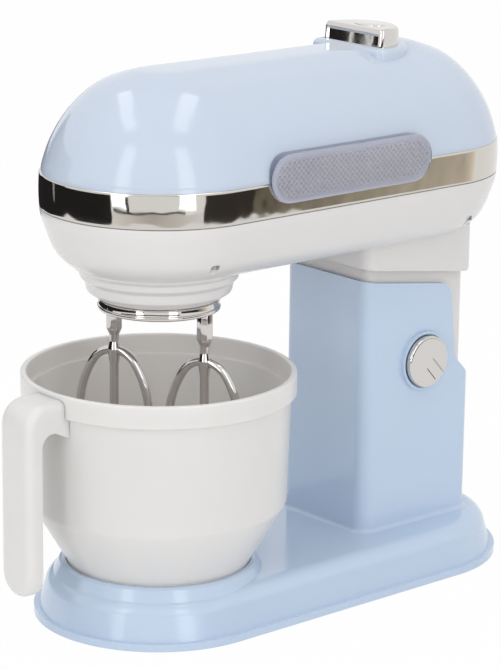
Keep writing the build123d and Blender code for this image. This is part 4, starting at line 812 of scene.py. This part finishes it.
@dataclass
class LampCovers(SubAssembly):
    """The clear cover on each side of the head, with the prism plate that it holds."""

    start: float = 20.65
    end: float = 128.35
    low: float = 219.75
    high: float = 244.25
    face: float = 62.8
    back: float = 55.2
    corner: float = 12.2
    edge: float = 1.6
    rim: float = 3.0
    plate_face: float = 61.5
    plate_back: float = 60.8
    border_back: float = 60.25
    border: float = 0.7
    pitch: float = 2.2
    ridge: float = 0.2
    pit: float = 0.85

    def cover(self) -> bmesh.types.BMesh:
        """Make the clear slab with round ends and a rounded face, on the +X side.

        Returns:
            The slab.
        """
        bm = bmesh.new()
        block(bm, (self.back, self.start, self.low), (self.face, self.end, self.high))
        along = [e for e in bm.edges if abs(e.verts[0].co.x - e.verts[1].co.x) > 1]
        round_edges(bm, along, self.corner, 14)
        round_edges(bm, edges_on(bm, 0, self.face), self.edge, 4)
        tidy(bm)
        hold_flats(bm, area=400.0)
        return bm

    def prisms(self) -> bmesh.types.BMesh:
        """Make the plate of small square pits, cut to a round ended outline, on the +X side.

        Returns:
            The plate.
        """
        length = (self.end - self.start) / 2 - self.rim
        height = (self.high - self.low) / 2 - self.rim
        cells = math.ceil((length + height) * math.sqrt(2) / self.pitch / 2) * 2
        bm = bmesh.new()
        bmesh.ops.create_grid(bm, x_segments=cells, y_segments=cells, size=cells * self.pitch / 2)
        diagonal = Matrix.Rotation(math.pi / 4, 3, "Z")
        bmesh.ops.rotate(bm, cent=ORIGIN, matrix=diagonal, verts=bm.verts)
        self.trim(bm, length + self.pitch, height + self.pitch)
        pits = list(bm.faces)
        bmesh.ops.inset_individual(bm, faces=pits, thickness=self.ridge)
        # The pits take the second material, darkened as painted shade; the ridges keep the first,
        # lightened as a painted highlight.
        for face in pits:
            face.material_index = 1
        bmesh.ops.poke(bm, faces=pits, offset=-self.pit)
        self.trim(bm, length, height)
        rim = [e for e in bm.edges if e.is_boundary]
        wall = bmesh.ops.extrude_edge_only(bm, edges=rim)["geom"]
        drop = (0, 0, self.plate_back - self.plate_face)
        bmesh.ops.translate(bm, vec=drop, verts=only(bmesh.types.BMVert, wall))
        bmesh.ops.contextual_create(bm, geom=only(bmesh.types.BMEdge, wall))
        tidy(bm)
        stand = Matrix(((0, 0, 1, self.plate_face), (1, 0, 0, 0), (0, 1, 0, 0), (0, 0, 0, 1)))
        stand.translation.y = (self.start + self.end) / 2
        stand.translation.z = (self.low + self.high) / 2
        bmesh.ops.transform(bm, matrix=stand, verts=bm.verts)
        return bm

    def backing(self) -> bmesh.types.BMesh:
        """Make the plain milky border plate that the prism plate stands on, on the +X side.

        Returns:
            The plate.
        """
        bm = bmesh.new()
        low = (self.border_back, self.start + self.border, self.low + self.border)
        high = (self.plate_back + 0.05, self.end - self.border, self.high - self.border)
        block(bm, low, high)
        along = [e for e in bm.edges if abs(e.verts[0].co.x - e.verts[1].co.x) > TOUCH_MM]
        round_edges(bm, along, (high[2] - low[2]) / 2 - 0.05, 14)
        tidy(bm)
        return bm

    def trim(self, bm: bmesh.types.BMesh, length: float, height: float) -> None:
        """Cut a sheet on the XY plane down to a slot outline.

        Args:
            bm: The sheet.
            length: Half of the outline's length.
            height: Half of its height, which is the radius of its round ends.
        """
        for angle in range(0, 360, 10):
            turn = math.radians(angle)
            way = Vector((math.cos(turn), math.sin(turn), 0.0))
            centre = Vector((math.copysign(length - height, way.x), 0.0, 0.0))
            geometry = list(bm.verts) + list(bm.edges) + list(bm.faces)
            bmesh.ops.bisect_plane(
                bm,
                geom=geometry,
                dist=1e-4,
                plane_co=centre + way * height,
                plane_no=way,
                clear_outer=True,
            )

    def build(self) -> None:
        """Make both covers and the two plates behind each."""
        sides = (("right", "lens_right", 1.0), ("left", "lens_left", -1.0))
        for side, node, sign in sides:
            for name, bm, finishes, stands in (
                ("cover", self.cover(), (CLEAR_ACRYLIC,), (node,)),
                # The prism plate's ridges carry a painted highlight and its pits painted shade.
                ("prisms", self.prisms(), (PRISM_RIDGE_PAINTED_HIGHLIGHT, PRISM_PIT_PAINTED_SHADE), ()),
                ("border", self.backing(), (PLATE_BORDER,), ()),
            ):
                if sign < 0:
                    bmesh.ops.scale(bm, vec=(-1, 1, 1), verts=bm.verts)
                    bmesh.ops.reverse_faces(bm, faces=bm.faces)
                piece = as_object(f"lamp_{name}_{side}", bm, *finishes, crease=30)
                self.place(piece, Body.HEAD, finishes[0], *stands)


@dataclass
class Head(SubAssembly):
    """The tilting head: dome, trim band, lower shell, collar, button and what it holds."""

    length: float = 154.0
    band_radius: float = 60.2
    band_low: float = 213.3
    band_high: float = 230.6
    band_wall: float = 2.0
    shell_floor: float = 182.0
    half_width: float = 22.3
    front: float = 128.6
    rear: float = 153.8
    button_low: float = 275.0
    button_top: float = 290.65
    pad_top: float = 290.9
    pad_radius: float = 8.0
    pad_root: float = 0.5
    pad_back: float = 12.5
    pad_oval: Spot = (1.25, 0.8, 1.0)
    d_flat: float = 0.05
    corner: float = 2.6
    edge: float = 2.2
    frame: float = 1.3
    recess: float = 0.8
    draught: float = 5.0
    bezel_rim: float = 5.0
    bezel_corner: float = 5.0
    bezel_round: float = 3.0
    bezel_low: float = 272.0
    bezel_top: float = 281.6
    stem_radius: float = 3.0
    stem_low: float = 262.0
    stem_back: float = 3.0
    button_wall: float = 1.6
    spring_radius: float = 5.2
    spring_wire: float = 0.45
    spring_turns: int = 7
    spring_low: float = 257.25
    spring_top: float = 288.95
    spring_play: float = 0.1
    travel: float = 2.5
    collar_root: float = 3.2

    @property
    def stem_centre(self) -> float:
        """Place along Y of the button's stem and its spring."""
        return self.front + self.half_width / 2 + self.stem_back

    def raised_d(self, grow: float, corner: float, low: float, high: float) -> bmesh.types.BMesh:
        """Raise the button's outline: flat in front, round behind.

        Args:
            grow: How far it stands outside the button's own outline.
            corner: Radius of its two front corners.
            low: Height of its underside.
            high: Height of its top.

        Returns:
            The closed block.
        """
        half, front, rear = self.half_width + grow, self.front - grow, self.rear + grow
        outline = Section().to(-half, front, corner).to(half, front, corner)
        outline.to(half, rear, half - self.d_flat).to(-half, rear, half - self.d_flat)
        bm = bmesh.new()
        level = Matrix.Rotation(-math.pi / 2, 4, "X")
        slab(bm, outline.draw(bm, closed=True, turn=level), UPRIGHT, low, high)
        return bm

    def make_button(self) -> None:
        """Make the plated button: flat framed front, round back and a low pad on its top."""
        bm = self.raised_d(0.0, self.corner, self.button_low, self.button_top)
        top = max(v.co.z for v in bm.verts)
        level = edges_on(bm, 2, top)
        rim = [e for e in level if min(f.normal.z for f in e.link_faces) < 0.5]
        round_edges(bm, rim, self.edge, 5)
        bmesh.ops.remove_doubles(bm, verts=bm.verts, dist=0.02)
        bm.normal_update()
        panel = [f for f in bm.faces if f.normal.y < -0.999 and f.calc_area() > 50]
        bmesh.ops.inset_region(
            bm, faces=panel, thickness=self.frame, depth=-self.recess, use_even_offset=True
        )
        floor = [f for f in bm.faces if f.normal.z < -0.999 and f.calc_area() > 200]
        bmesh.ops.delete(bm, geom=floor, context="FACES_ONLY")
        lean = math.tan(math.radians(self.draught))
        for vert in bm.verts:
            if vert.co.y < self.front + self.corner:
                vert.co.y += (vert.co.z - self.bezel_top) * lean
        bmesh.ops.solidify(bm, geom=list(bm.faces), thickness=self.button_wall)
        hold_flats(bm, area=200.0, margin=0.15)
        pad = Section().to(0, top - self.pad_root).to(self.pad_radius, top - self.pad_root)
        pad.to(self.pad_radius, self.pad_top, 0.25).to(0, self.pad_top)
        turned = turn_round(bm, pad, steps=48)
        bmesh.ops.scale(bm, vec=self.pad_oval, verts=turned)
        bmesh.ops.translate(bm, vec=(0, self.front + self.pad_back, 0), verts=turned)
        bmesh.ops.remove_doubles(bm, verts=turned, dist=WELD_MM)
        stem = add_rod(bm, self.stem_radius, self.stem_low, self.spring_top + 1.0, 32)
        bmesh.ops.translate(bm, vec=(0, self.stem_centre, 0), verts=stem)
        bmesh.ops.recalc_face_normals(bm, faces=bm.faces)
        button = as_object("top_button_plated", bm, CHROME_ABS, crease=30)
        self.place(button, Body.BUTTON, CHROME_ABS, "top_button")

    def make_spring(self) -> None:
        """Wind the return spring from its board up to the button's roof."""
        bm = bmesh.new()
        wire = self.spring_wire
        ring = bmesh.ops.create_circle(bm, cap_ends=True, segments=12, radius=wire)["verts"]
        section = ring + list(bm.edges) + list(bm.faces)
        on_edge = Matrix.Rotation(math.pi / 2, 3, "X")
        bmesh.ops.rotate(bm, cent=ORIGIN, matrix=on_edge, verts=ring)
        start = self.spring_low + wire
        bmesh.ops.translate(bm, vec=(self.spring_radius, 0, start), verts=ring)
        steps = self.spring_turns * 24
        rise = (self.spring_top - wire - start) / steps
        bmesh.ops.spin(
            bm,
            geom=section,
            cent=ORIGIN,
            axis=UPRIGHT,
            dvec=(0, 0, rise),
            angle=math.tau * self.spring_turns,
            steps=steps,
        )
        bmesh.ops.translate(bm, vec=(0, self.stem_centre, 0), verts=bm.verts)
        bmesh.ops.recalc_face_normals(bm, faces=bm.faces)
        spring = as_object("return_spring", bm, SPRING_STEEL, crease=60)
        self.place(spring, Body.HEAD, SPRING_STEEL, "button_spring")
        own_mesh(spring)

    def make_bezel(self) -> None:
        """Make the level cushion round the button, its edge rounded down to the dome."""
        bm = self.raised_d(self.bezel_rim, self.bezel_corner, self.bezel_low, self.bezel_top)
        rim = edges_on(bm, 2, self.bezel_top)
        round_edges(bm, rim, self.bezel_round, 6)
        hold_flats(bm, area=200.0, margin=0.15)
        tidy(bm)
        # The bezel takes the dome's blue, paler as painted sheen.
        bezel = as_object("button_bezel_soft", bm, BLUE_ABS_PAINTED_SHEEN, crease=50)
        self.place(bezel, Body.HEAD, BLUE_ABS_PAINTED_SHEEN, "button_bezel")

    def make_collar(self) -> None:
        """Turn the white collar under the lower shell: soft steps down to the mouth."""
        root = self.shell_floor + self.collar_root
        shape = Section().to(30.0, 171.5).to(30.0, 166.5).to(31.2, 166.5, 0.5).to(36.6, 170.2, 2.0)
        shape.to(37.2, 172.6, 1.0).to(37.6, 175.2, 1.6).to(40.0, 177.4, 1.4).to(40.6, 180.6, 1.6)
        shape.to(43.0, 182.2, 1.2).to(44.6, root).to(42.0, root).to(36.0, 178.0).to(34.0, 173.0)
        bm = bmesh.new()
        turn_round(bm, shape, closed=True)
        tidy(bm)
        collar = as_object("drive_collar_soft", bm, WHITE_ABS, crease=50)
        self.place(collar, Body.HEAD, WHITE_ABS, "drive_collar")

    def make_band(self) -> None:
        """Make the plated band: slightly crowned, with soft edges, round the whole head."""
        crown, low, high = self.band_radius, self.band_low, self.band_high
        section = Section().to(crown - self.band_wall, low).to(crown - 0.3, low, 0.45)
        middle = (crown, (low + high) / 2)
        section.through([middle, (crown - 0.35, high)], start=(0.06, 1.0), end=(-0.07, 1.0))
        section.radii[-1] = 0.7
        section.to(crown - self.band_wall, high)
        bm = bmesh.new()
        run_round(bm, section.draw(bm, closed=True), self.length)
        band = as_object("trim_band_plated", bm, CHROME_BAND, crease=60)
        self.place(band, Body.HEAD, CHROME_BAND, "trim_band")

    def build(self) -> None:
        """Make the pieces of the head and dress the nodes that it keeps."""
        self.make_button()
        self.make_spring()
        self.make_bezel()
        self.make_band()
        self.make_collar()
        # The dome takes the blue that is paler as painted sheen.
        self.dress(BLUE_ABS_PAINTED_SHEEN, "head_upper")
        self.dress(WHITE_ABS, "head_lower", "gearbox_plate", "gearbox_lid")
        self.dress(BOARD_RESIST, "lamp_boards", "button_board")
        self.dress(LAMP_EPOXY, "lamps")
        self.dress(BLACK_ABS, "button_switch")
        self.dress(ZINC_STEEL, "gearbox_screws", "head_screws")
        self.dress(BUSH_BRASS, "shaft_bushes")
        self.dress(MOTOR_STEEL, "motor")


@dataclass
class Drive(SubAssembly):
    """Carrier, ring, gear and shaft, the motor's pinion, and the pair of beaters."""

    orbit: float = 25.5
    turn: float = 24.3
    sleeve_radius: float = 4.3
    sleeve_top: float = 161.1
    sleeve_foot: float = 146.3
    hoop_top: float = 137.3
    hoop_low: float = 66.3
    hoop_width: float = 44.0
    wire: float = 2.2
    crown_bend: float = 14.0
    rod: float = 2.35
    ring_inside: float = 29.5
    ring_radius: float = 31.2
    ring_low: float = 160.4
    ring_top: float = 166.2

    def make_sleeve(self, bm: bmesh.types.BMesh) -> None:
        """Add the eight sided sleeve, its edges just broken.

        Args:
            bm: Mesh of the beater.
        """
        sleeve = add_rod(bm, self.sleeve_radius, self.sleeve_foot, self.sleeve_top, 8)
        edges = list({e for v in sleeve for e in v.link_edges})
        round_edges(bm, edges, 0.45, 3)

    def make_stem(self, bm: bmesh.types.BMesh) -> None:
        """Add the turned neck, the swell where the hoop joins it, and the centre rod.

        Args:
            bm: Mesh of the beater.
        """
        stem = Section().to(0, 146.7).to(3.85, 146.4, 0.3).to(3.3, 144.9, 0.5).to(2.5, 143.2, 1.0)
        stem.to(2.45, 139.4, 2.0).to(3.25, 135.4, 2.0).to(3.0, 131.5, 3.0)
        stem.to(self.rod, 127.0, 4.0).to(self.rod, self.hoop_low + 2.4).to(0, self.hoop_low + 1.6)
        turned = turn_round(bm, stem, steps=32)
        bmesh.ops.remove_doubles(bm, verts=turned, dist=WELD_MM)

    def make_hoop(self, bm: bmesh.types.BMesh) -> None:
        """Add the oval hoop: a round wire bent round four arcs that meet smoothly.

        Args:
            bm: Mesh of the beater.
        """
        across = self.hoop_width / 2 - self.wire
        tall = (self.hoop_top - self.hoop_low) / 2 - self.wire
        middle = (self.hoop_top + self.hoop_low) / 2
        drop = tall - self.crown_bend
        side_bend = (across**2 + drop**2 - self.crown_bend**2) / (2 * (across - self.crown_bend))
        reach = side_bend - across
        half_side = math.atan2(drop, reach)
        half_crown = math.pi / 2 - half_side
        ring = bmesh.ops.create_circle(bm, segments=20, radius=self.wire)["verts"]
        edges = list({e for v in ring for e in v.link_edges})
        on_edge = Matrix.Rotation(math.pi / 2, 3, "Y")
        bmesh.ops.rotate(bm, cent=ORIGIN, matrix=on_edge, verts=ring)
        bmesh.ops.translate(bm, vec=(0, 0, middle + tall), verts=ring)
        section = ring + edges
        hoop = set(ring)
        arcs = (
            ((0, 0, middle + drop), half_crown, 12),
            ((-reach, 0, middle), 2 * half_side, 28),
            ((0, 0, middle - drop), 2 * half_crown, 24),
            ((reach, 0, middle), 2 * half_side, 28),
            ((0, 0, middle + drop), half_crown, 12),
        )
        for centre, angle, steps in arcs:
            first = set(bm.verts)
            section = bmesh.ops.spin(
                bm, geom=section, cent=centre, axis=(0, 1, 0), angle=angle, steps=steps
            )["geom_last"]
            hoop |= set(bm.verts) - first
        bmesh.ops.remove_doubles(bm, verts=list(hoop), dist=5e-3)

    def make_ring(self) -> None:
        """Turn the plated ring: a leaning waist over a round lip."""
        inside, outside = self.ring_inside, self.ring_radius
        low, high = self.ring_low, self.ring_top
        shape = Section().to(inside, low + 1.0).to(inside + 0.6, low + 1.0)
        shape.to(inside + 0.6, low, 0.1)
        shape.to(outside - 0.1, low, 0.8).to(outside - 0.1, 162.5, 0.7).to(30.4, 162.7, 0.15)
        shape.to(29.9, 165.3, 0.3).to(outside, 165.9, 0.1).to(outside, high, 0.1).to(inside, high)
        bm = bmesh.new()
        turn_round(bm, shape, closed=True)
        tidy(bm)
        ring = as_object("carrier_ring_plated", bm, CHROME_ABS, crease=50)
        self.place(ring, Body.DRIVE, CHROME_ABS, "carrier_ring")

    def make_beaters(self) -> None:
        """Make both beaters, each in the plane through the carrier's axis."""
        sides = (
            ("right", Body.BEATER_RIGHT, self.turn),
            ("left", Body.BEATER_LEFT, self.turn + 180),
        )
        for side, body, turn in sides:
            bm = bmesh.new()
            self.make_sleeve(bm)
            self.make_stem(bm)
            self.make_hoop(bm)
            bmesh.ops.recalc_face_normals(bm, faces=bm.faces)
            round_axis = Matrix.Rotation(math.radians(turn), 4, "Z")
            here = round_axis @ Matrix.Translation((self.orbit, 0, 0))
            bmesh.ops.transform(bm, matrix=here, verts=bm.verts)
            beater = as_object(f"beater_plated_{side}", bm, CHROME_BEATER, crease=30)
            self.place(beater, body, CHROME_BEATER, f"beater_{side}")

    def build(self) -> None:
        """Make the beaters and the ring, and dress the nodes that the drive keeps."""
        self.make_beaters()
        self.make_ring()
        self.dress(WHITE_ABS, "carrier")
        self.dress(ZINC_STEEL, "carrier_shaft", "motor_shaft")
        self.dress(ZINC_STEEL, "beater_right_shank", "beater_left_shank")
        self.dress(ACETAL, "carrier_gear")
        self.dress(SPRING_STEEL, "shaft_clip")
        self.dress(BUSH_BRASS, "motor_pinion")


@dataclass
class Bowl(SubAssembly):
    """The mixing bowl with its grip, one moulding."""

    radius: float = 70.0
    rim: float = 128.3
    foot: float = 25.0
    width: float = 24.0
    outside: float = -91.3
    inside: float = -82.7
    arm_top: float = 126.1
    grip_low: float = 26.6
    arm_end: float = -65.9
    bend: float = 12.5
    edge: float = 4.0
    wall: float = 2.4

    def make_wall(self, bm: bmesh.types.BMesh) -> None:
        """Turn the bowl: foot, slanted part, wall and rim band, then back down the inside.

        Args:
            bm: Mesh of the bowl.
        """
        shape = Section().to(0, self.foot + 0.6).to(44.5, self.foot + 0.6).to(45.0, self.foot, 0.4)
        shape.to(47.2, self.foot, 0.8).to(47.2, 29.0, 2.0).to(50.6, 34.5, 4.0).to(65.5, 60.0, 5.0)
        shape.to(67.2, 116.3, 0.6).to(self.radius, 116.8, 0.9).to(self.radius, self.rim, 1.1)
        shape.to(67.0, self.rim, 0.8).to(67.0, 118.3, 0.5).to(64.8, 118.3, 0.5)
        shape.to(63.1, 61.0, 5.0).to(48.9, 35.9, 4.0).to(43.8, 27.4, 3.0).to(0, 27.4)
        turn_round(bm, shape)
        tidy(bm)

    def make_grip(self, bm: bmesh.types.BMesh) -> None:
        """Add the hollow grip: a broad round edged strap that hangs from the rim band.

        Args:
            bm: Mesh of the bowl.
        """
        grip = bmesh.new()
        side = Section().to(self.arm_end, self.arm_top).to(self.outside, self.arm_top, self.bend)
        side.to(self.outside, self.grip_low).to(self.inside, self.grip_low)
        side.to(self.inside, 112.3, 7.0).to(-74.7, 110.9, 6.0).to(self.arm_end, 106.6)
        section = side.draw(grip, closed=True, turn=Matrix.Rotation(math.pi / 2, 4, "Z"))
        slab(grip, section, (1.0, 0.0, 0.0), -self.width / 2, self.width / 2)
        level = edges_on(grip, 2, self.grip_low)
        low = [e for e in level if abs(e.verts[0].co.y - e.verts[1].co.y) > 1]
        round_edges(grip, low, self.width / 2 - 0.002, 14)
        bmesh.ops.remove_doubles(grip, verts=grip.verts, dist=0.02)
        grip.normal_update()
        opening = [
            f
            for f in grip.faces
            if f.normal.y > 0.3 or (f.normal.z < -0.5 and f.calc_center_median().z > 100)
        ]
        bmesh.ops.delete(grip, geom=opening, context="FACES_ONLY")
        bmesh.ops.delete(grip, geom=[e for e in grip.edges if e.is_wire], context="EDGES")
        skin = {
            f
            for f in grip.faces
            if abs(f.normal.x) < 0.01 and (f.normal.y < -0.05 or f.normal.z > 0.05)
        }
        pairs = [e for e in grip.edges if len(e.link_faces) == 2]
        rim = [e for e in pairs if len(skin.intersection(e.link_faces)) == 1]
        round_edges(grip, rim, self.edge, 5)
        bmesh.ops.remove_doubles(grip, verts=grip.verts, dist=0.03)
        bmesh.ops.dissolve_degenerate(grip, edges=grip.edges, dist=0.01)
        bmesh.ops.solidify(grip, geom=list(grip.faces), thickness=self.wall)
        hold_flats(grip, area=80.0)
        bmesh.ops.recalc_face_normals(grip, faces=grip.faces)
        ready = to_mesh("grip", grip)
        bm.from_mesh(ready)
        bpy.data.meshes.remove(ready)

    def build(self) -> None:
        """Make the bowl."""
        bm = bmesh.new()
        self.make_wall(bm)
        self.make_grip(bm)
        bowl = as_object("mixing_bowl", bm, BOWL_PP, crease=35)
        self.place(bowl, Body.BOWL, BOWL_PP, "bowl")


@dataclass
class Stand(SubAssembly):
    """Base, column, inner tower, knob, battery bay and what they hold."""

    def build(self) -> None:
        """Dress the nodes of the stand, which all keep their shape."""
        self.dress(BLUE_ABS, "body_shell", "bowl_seat", "knob_bezel", "battery_door")
        self.dress(WHITE_ABS, "bottom_plate", "tower", "battery_tray")
        self.dress(CHROME_ABS, "knob")
        self.dress(RUBBER, "rubber_feet")
        self.dress(ZINC_STEEL, "base_screws", "hinge_pin", "door_screw")
        self.dress(BLACK_ABS, "speaker", "rotary_switch", "knob_pointer")
        self.dress(CELL_SLEEVE, "batteries")
        self.dress(SPRING_STEEL, "battery_contacts")
        self.dress(BOARD_RESIST, "main_board")


# ---------------------------------------------------------------- studio
@dataclass(frozen=True)
class Lamp:
    """One soft box: where it is, what it faces, its size in metres and its brightness."""

    name: str
    place: Spot
    target: Spot
    width: float
    height: float
    radiance: float
    along: Spot = (0.0, 0.0, 1.0)

    def hang(self) -> None:
        """Make the lamp and point it, its long side in line with a direction."""
        data = bpy.data.lights.new(self.name, "AREA")
        data.shape, data.size, data.size_y = "RECTANGLE", self.width, self.height
        data.energy = self.radiance * math.pi * self.width * self.height
        lamp = add_object(self.name, data)
        back = (Vector(self.place) - Vector(self.target)).normalized()
        side = Vector(self.along).cross(back).normalized()
        lamp.matrix_world = stand_at(self.place, side, back.cross(side), back)


@dataclass(frozen=True)
class Card:
    """A matt card on edge, with a tone graded from one end to the other; only gloss shows it."""

    name: str
    start: Point
    end: Point
    low: float
    high: float
    first: str
    last: str

    def paper(self) -> bpy.types.Material:
        """Make the matt paper, its tone graded along the card.

        Returns:
            The material of the card.
        """
        paper = empty_material(f"{self.name}_paper")
        tree = paper.node_tree
        place = add_node(tree, "ShaderNodeTexCoord").outputs["Object"]
        foot = Vector((*self.start, 0.0))
        way = Vector((*self.end, 0.0)) - foot
        scaled = way / way.length_squared
        projected = {0: place, 1: scaled}
        along = add_node(tree, "ShaderNodeVectorMath", projected, operation="DOT_PRODUCT")
        shift = {0: along.outputs["Value"], 1: scaled.dot(foot)}
        part = add_node(tree, "ShaderNodeMath", shift, operation="SUBTRACT").outputs[0]
        tones = {0: part, 6: linear(self.first), 7: linear(self.last)}
        tone = add_node(tree, "ShaderNodeMix", tones, data_type="RGBA").outputs[2]
        lit = add_node(tree, "ShaderNodeEmission", {"Color": tone, "Strength": 1.0})
        add_node(tree, "ShaderNodeOutputMaterial", {"Surface": lit.outputs[0]})
        return paper

    def stand(self) -> None:
        """Stand the card up, unseen by the camera and by all diffuse light."""
        bm = bmesh.new()
        foot = [bm.verts.new((*place, self.low)) for place in (self.start, self.end)]
        top = bmesh.ops.extrude_edge_only(bm, edges=[bm.edges.new(foot)])["geom"]
        rise = (0, 0, self.high - self.low)
        bmesh.ops.translate(bm, vec=rise, verts=only(bmesh.types.BMVert, top))
        mesh = to_mesh(self.name, bm)
        mesh.materials.append(self.paper())
        card = add_object(self.name, mesh)
        card.visible_camera = card.visible_diffuse = card.visible_shadow = False


def shown_rays(tree: bpy.types.NodeTree) -> bpy.types.NodeSocket:
    """Tell rays that show a thing, straight, in gloss or through glass, from those that light it.

    Args:
        tree: Node tree of a material or of the world.

    Returns:
        One for the rays that show it, zero for the rest.
    """
    path = add_node(tree, "ShaderNodeLightPath")
    shown = path.outputs["Is Camera Ray"]
    for ray in ("Is Glossy Ray", "Is Transmission Ray"):
        either = {0: shown, 1: path.outputs[ray]}
        shown = add_node(tree, "ShaderNodeMath", either, operation="MAXIMUM").outputs[0]
    return shown


@dataclass
class Studio:
    """Camera, white surroundings, pale floor, soft boxes and the dark cards that chrome shows."""

    camera_place: Spot = (1.05379, -0.85827, 0.51142)
    right: Spot = (0.6549, 0.75563, 0.01156)
    up: Spot = (-0.2034, 0.16151, 0.96568)
    ahead: Spot = (-0.72783, 0.63477, -0.25946)
    lens_mm: float = 150.12
    ambient: float = 0.66
    floor_size: float = 12.0
    floor_colour: str = "#f4f4f4"
    floor_white: float = 0.97
    floor_drop: float = 0.02
    card_height: float = 0.2
    radiance: float = 2.4

    def set_camera(self) -> None:
        """Make the camera with its lens and its aim."""
        data = bpy.data.cameras.new("camera")
        data.lens, data.sensor_width = self.lens_mm, 36.0
        data.clip_start, data.clip_end = 0.05, 50.0
        camera = add_object("camera", data)
        aim = (Vector(self.right), Vector(self.up), -Vector(self.ahead))
        camera.matrix_world = stand_at(self.camera_place, *aim)
        bpy.context.scene.camera = camera

    def set_world(self) -> None:
        """White to the eye and in reflections, a plainer grey as light on the object."""
        world = bpy.data.worlds.new("studio")
        world.use_nodes = True
        tree = world.node_tree
        tree.nodes.clear()
        glow = {"Color": (1.0, 1.0, 1.0, 1.0), "Strength": self.ambient}
        lit = add_node(tree, "ShaderNodeBackground", glow)
        white = add_node(tree, "ShaderNodeBackground", {**glow, "Strength": 1.0})
        blend = {"Fac": shown_rays(tree), 1: lit.outputs[0], 2: white.outputs[0]}
        mixed = add_node(tree, "ShaderNodeMixShader", blend)
        add_node(tree, "ShaderNodeOutputWorld", {"Surface": mixed.outputs[0]})
        bpy.context.scene.world = world

    def set_floor(self) -> None:
        """Lay a plain pale floor that keeps the object's shadow and reads as white."""
        bm = bmesh.new()
        bmesh.ops.create_grid(bm, x_segments=1, y_segments=1, size=self.floor_size / 2 / MM)
        bmesh.ops.translate(bm, vec=(0, 0, -self.floor_drop), verts=bm.verts)
        bmesh.ops.scale(bm, vec=(MM, MM, MM), verts=bm.verts)
        paper = empty_material("white_paper_sweep")
        tree = paper.node_tree
        glow = add_node(tree, "ShaderNodeEmission", {"Color": (1, 1, 1, 1), "Strength": 1.0})
        matt = add_node(tree, "ShaderNodeBsdfDiffuse", {"Color": linear(self.floor_colour)})
        share = {0: shown_rays(tree), 1: self.floor_white}
        lift = add_node(tree, "ShaderNodeMath", share, operation="MULTIPLY").outputs[0]
        blend = {0: lift, 1: matt.outputs[0], 2: glow.outputs[0]}
        mixed = add_node(tree, "ShaderNodeMixShader", blend)
        add_node(tree, "ShaderNodeOutputMaterial", {"Surface": mixed.outputs[0]})
        mesh = to_mesh("floor", bm)
        mesh.materials.append(paper)
        floor = add_object("floor", mesh)

    def set_cards(self) -> None:
        """Stand dark cards round the table; only reflections see them."""
        tall, low, line = self.card_height, 0.072, 0.09
        black, dark, warm, grey = "#272526", "#3a3634", "#3b3733", "#524e4b"
        white, cool, dull = "#ffffff", "#f4f2f0", "#c6c1bc"
        cards = (
            Card("card_rear", (-0.78, 0.10), (-0.70, 0.60), 0.0, tall, black, black),
            Card("card_side", (-0.55, -0.55), (-0.78, 0.10), 0.0, 0.42, black, black),
            Card("card_left", (0.09, -0.745), (-0.55, -0.55), 0.0, tall, black, black),
            Card("card_right", (0.755, 0.03), (0.60, 0.462), 0.0, tall, warm, warm),
            Card("card_graded", (0.60, 0.462), (0.36, 0.72), 0.0, tall, "#6b6457", "#fff4e0"),
            Card("sheet_left", (0.09, -0.745), (0.53, -0.53), 0.0, low, cool, dull),
            Card("sheet_right", (0.53, -0.53), (0.755, 0.03), 0.0, low, dull, cool),
            Card("line_left", (0.12, -0.74), (0.53, -0.53), low, line, dark, dark),
            Card("line_right", (0.53, -0.53), (0.68, -0.20), low, line, dark, dark),
            Card("post", (0.250, -0.690), (0.283, -0.678), low, 0.17, black, black),
            Card("slat_near", (-0.3288, -0.1816), (-0.3240, -0.1822), 0.15, 0.4, white, white),
            Card("slat_far", (-0.3143, -0.1835), (-0.3080, -0.1844), 0.15, 0.4, white, white),
            Card("valance_left", (-0.42, -0.92), (0.55, -0.85), 0.28, 0.35, grey, grey),
            Card("valance_right", (0.55, -0.85), (1.00, 0.0), 0.28, 0.35, grey, grey),
        )
        for card in cards:
            card.stand()

    def set_lamps(self) -> None:
        """Hang the strip boxes beside the camera and above the head."""
        over, bright = (-0.73, 0.68, 0.0), self.radiance
        left, right = (-0.51, -0.405), (0.325, 0.375)
        lamps = (
            Lamp("strip_left", (0.313, -1.21, 0.75), (0, 0, 0.75), 0.30, 1.48, bright),
            Lamp("strip_right", (1.218, -0.281, 0.75), (0, 0, 0.75), 0.34, 1.48, bright),
            Lamp("overhead_left", (*left, 1.6), (*left, 0.0), 0.30, 1.42, bright, over),
            Lamp("overhead_right", (*right, 1.6), (*right, 0.0), 0.34, 1.3, bright, over),
        )
        for lamp in lamps:
            lamp.hang()

    def build(self) -> None:
        """Set up the whole studio."""
        bpy.context.scene.view_settings.view_transform = "Standard"
        self.set_camera()
        self.set_world()
        self.set_floor()
        self.set_cards()
        self.set_lamps()


def main() -> None:
    """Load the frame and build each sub-assembly in order."""
    logging.basicConfig(level=logging.INFO, format="%(name)s: %(message)s")
    for leftover in list(bpy.data.objects):
        bpy.data.objects.remove(leftover)
    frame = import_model()
    Studio().build()
    nodes = frame["nodes"]
    assemblies = (Stand(nodes), Bowl(nodes), Head(nodes), LampCovers(nodes), Drive(nodes))
    for assembly in assemblies:
        assembly.build()


if __name__ == "__main__":
    main()
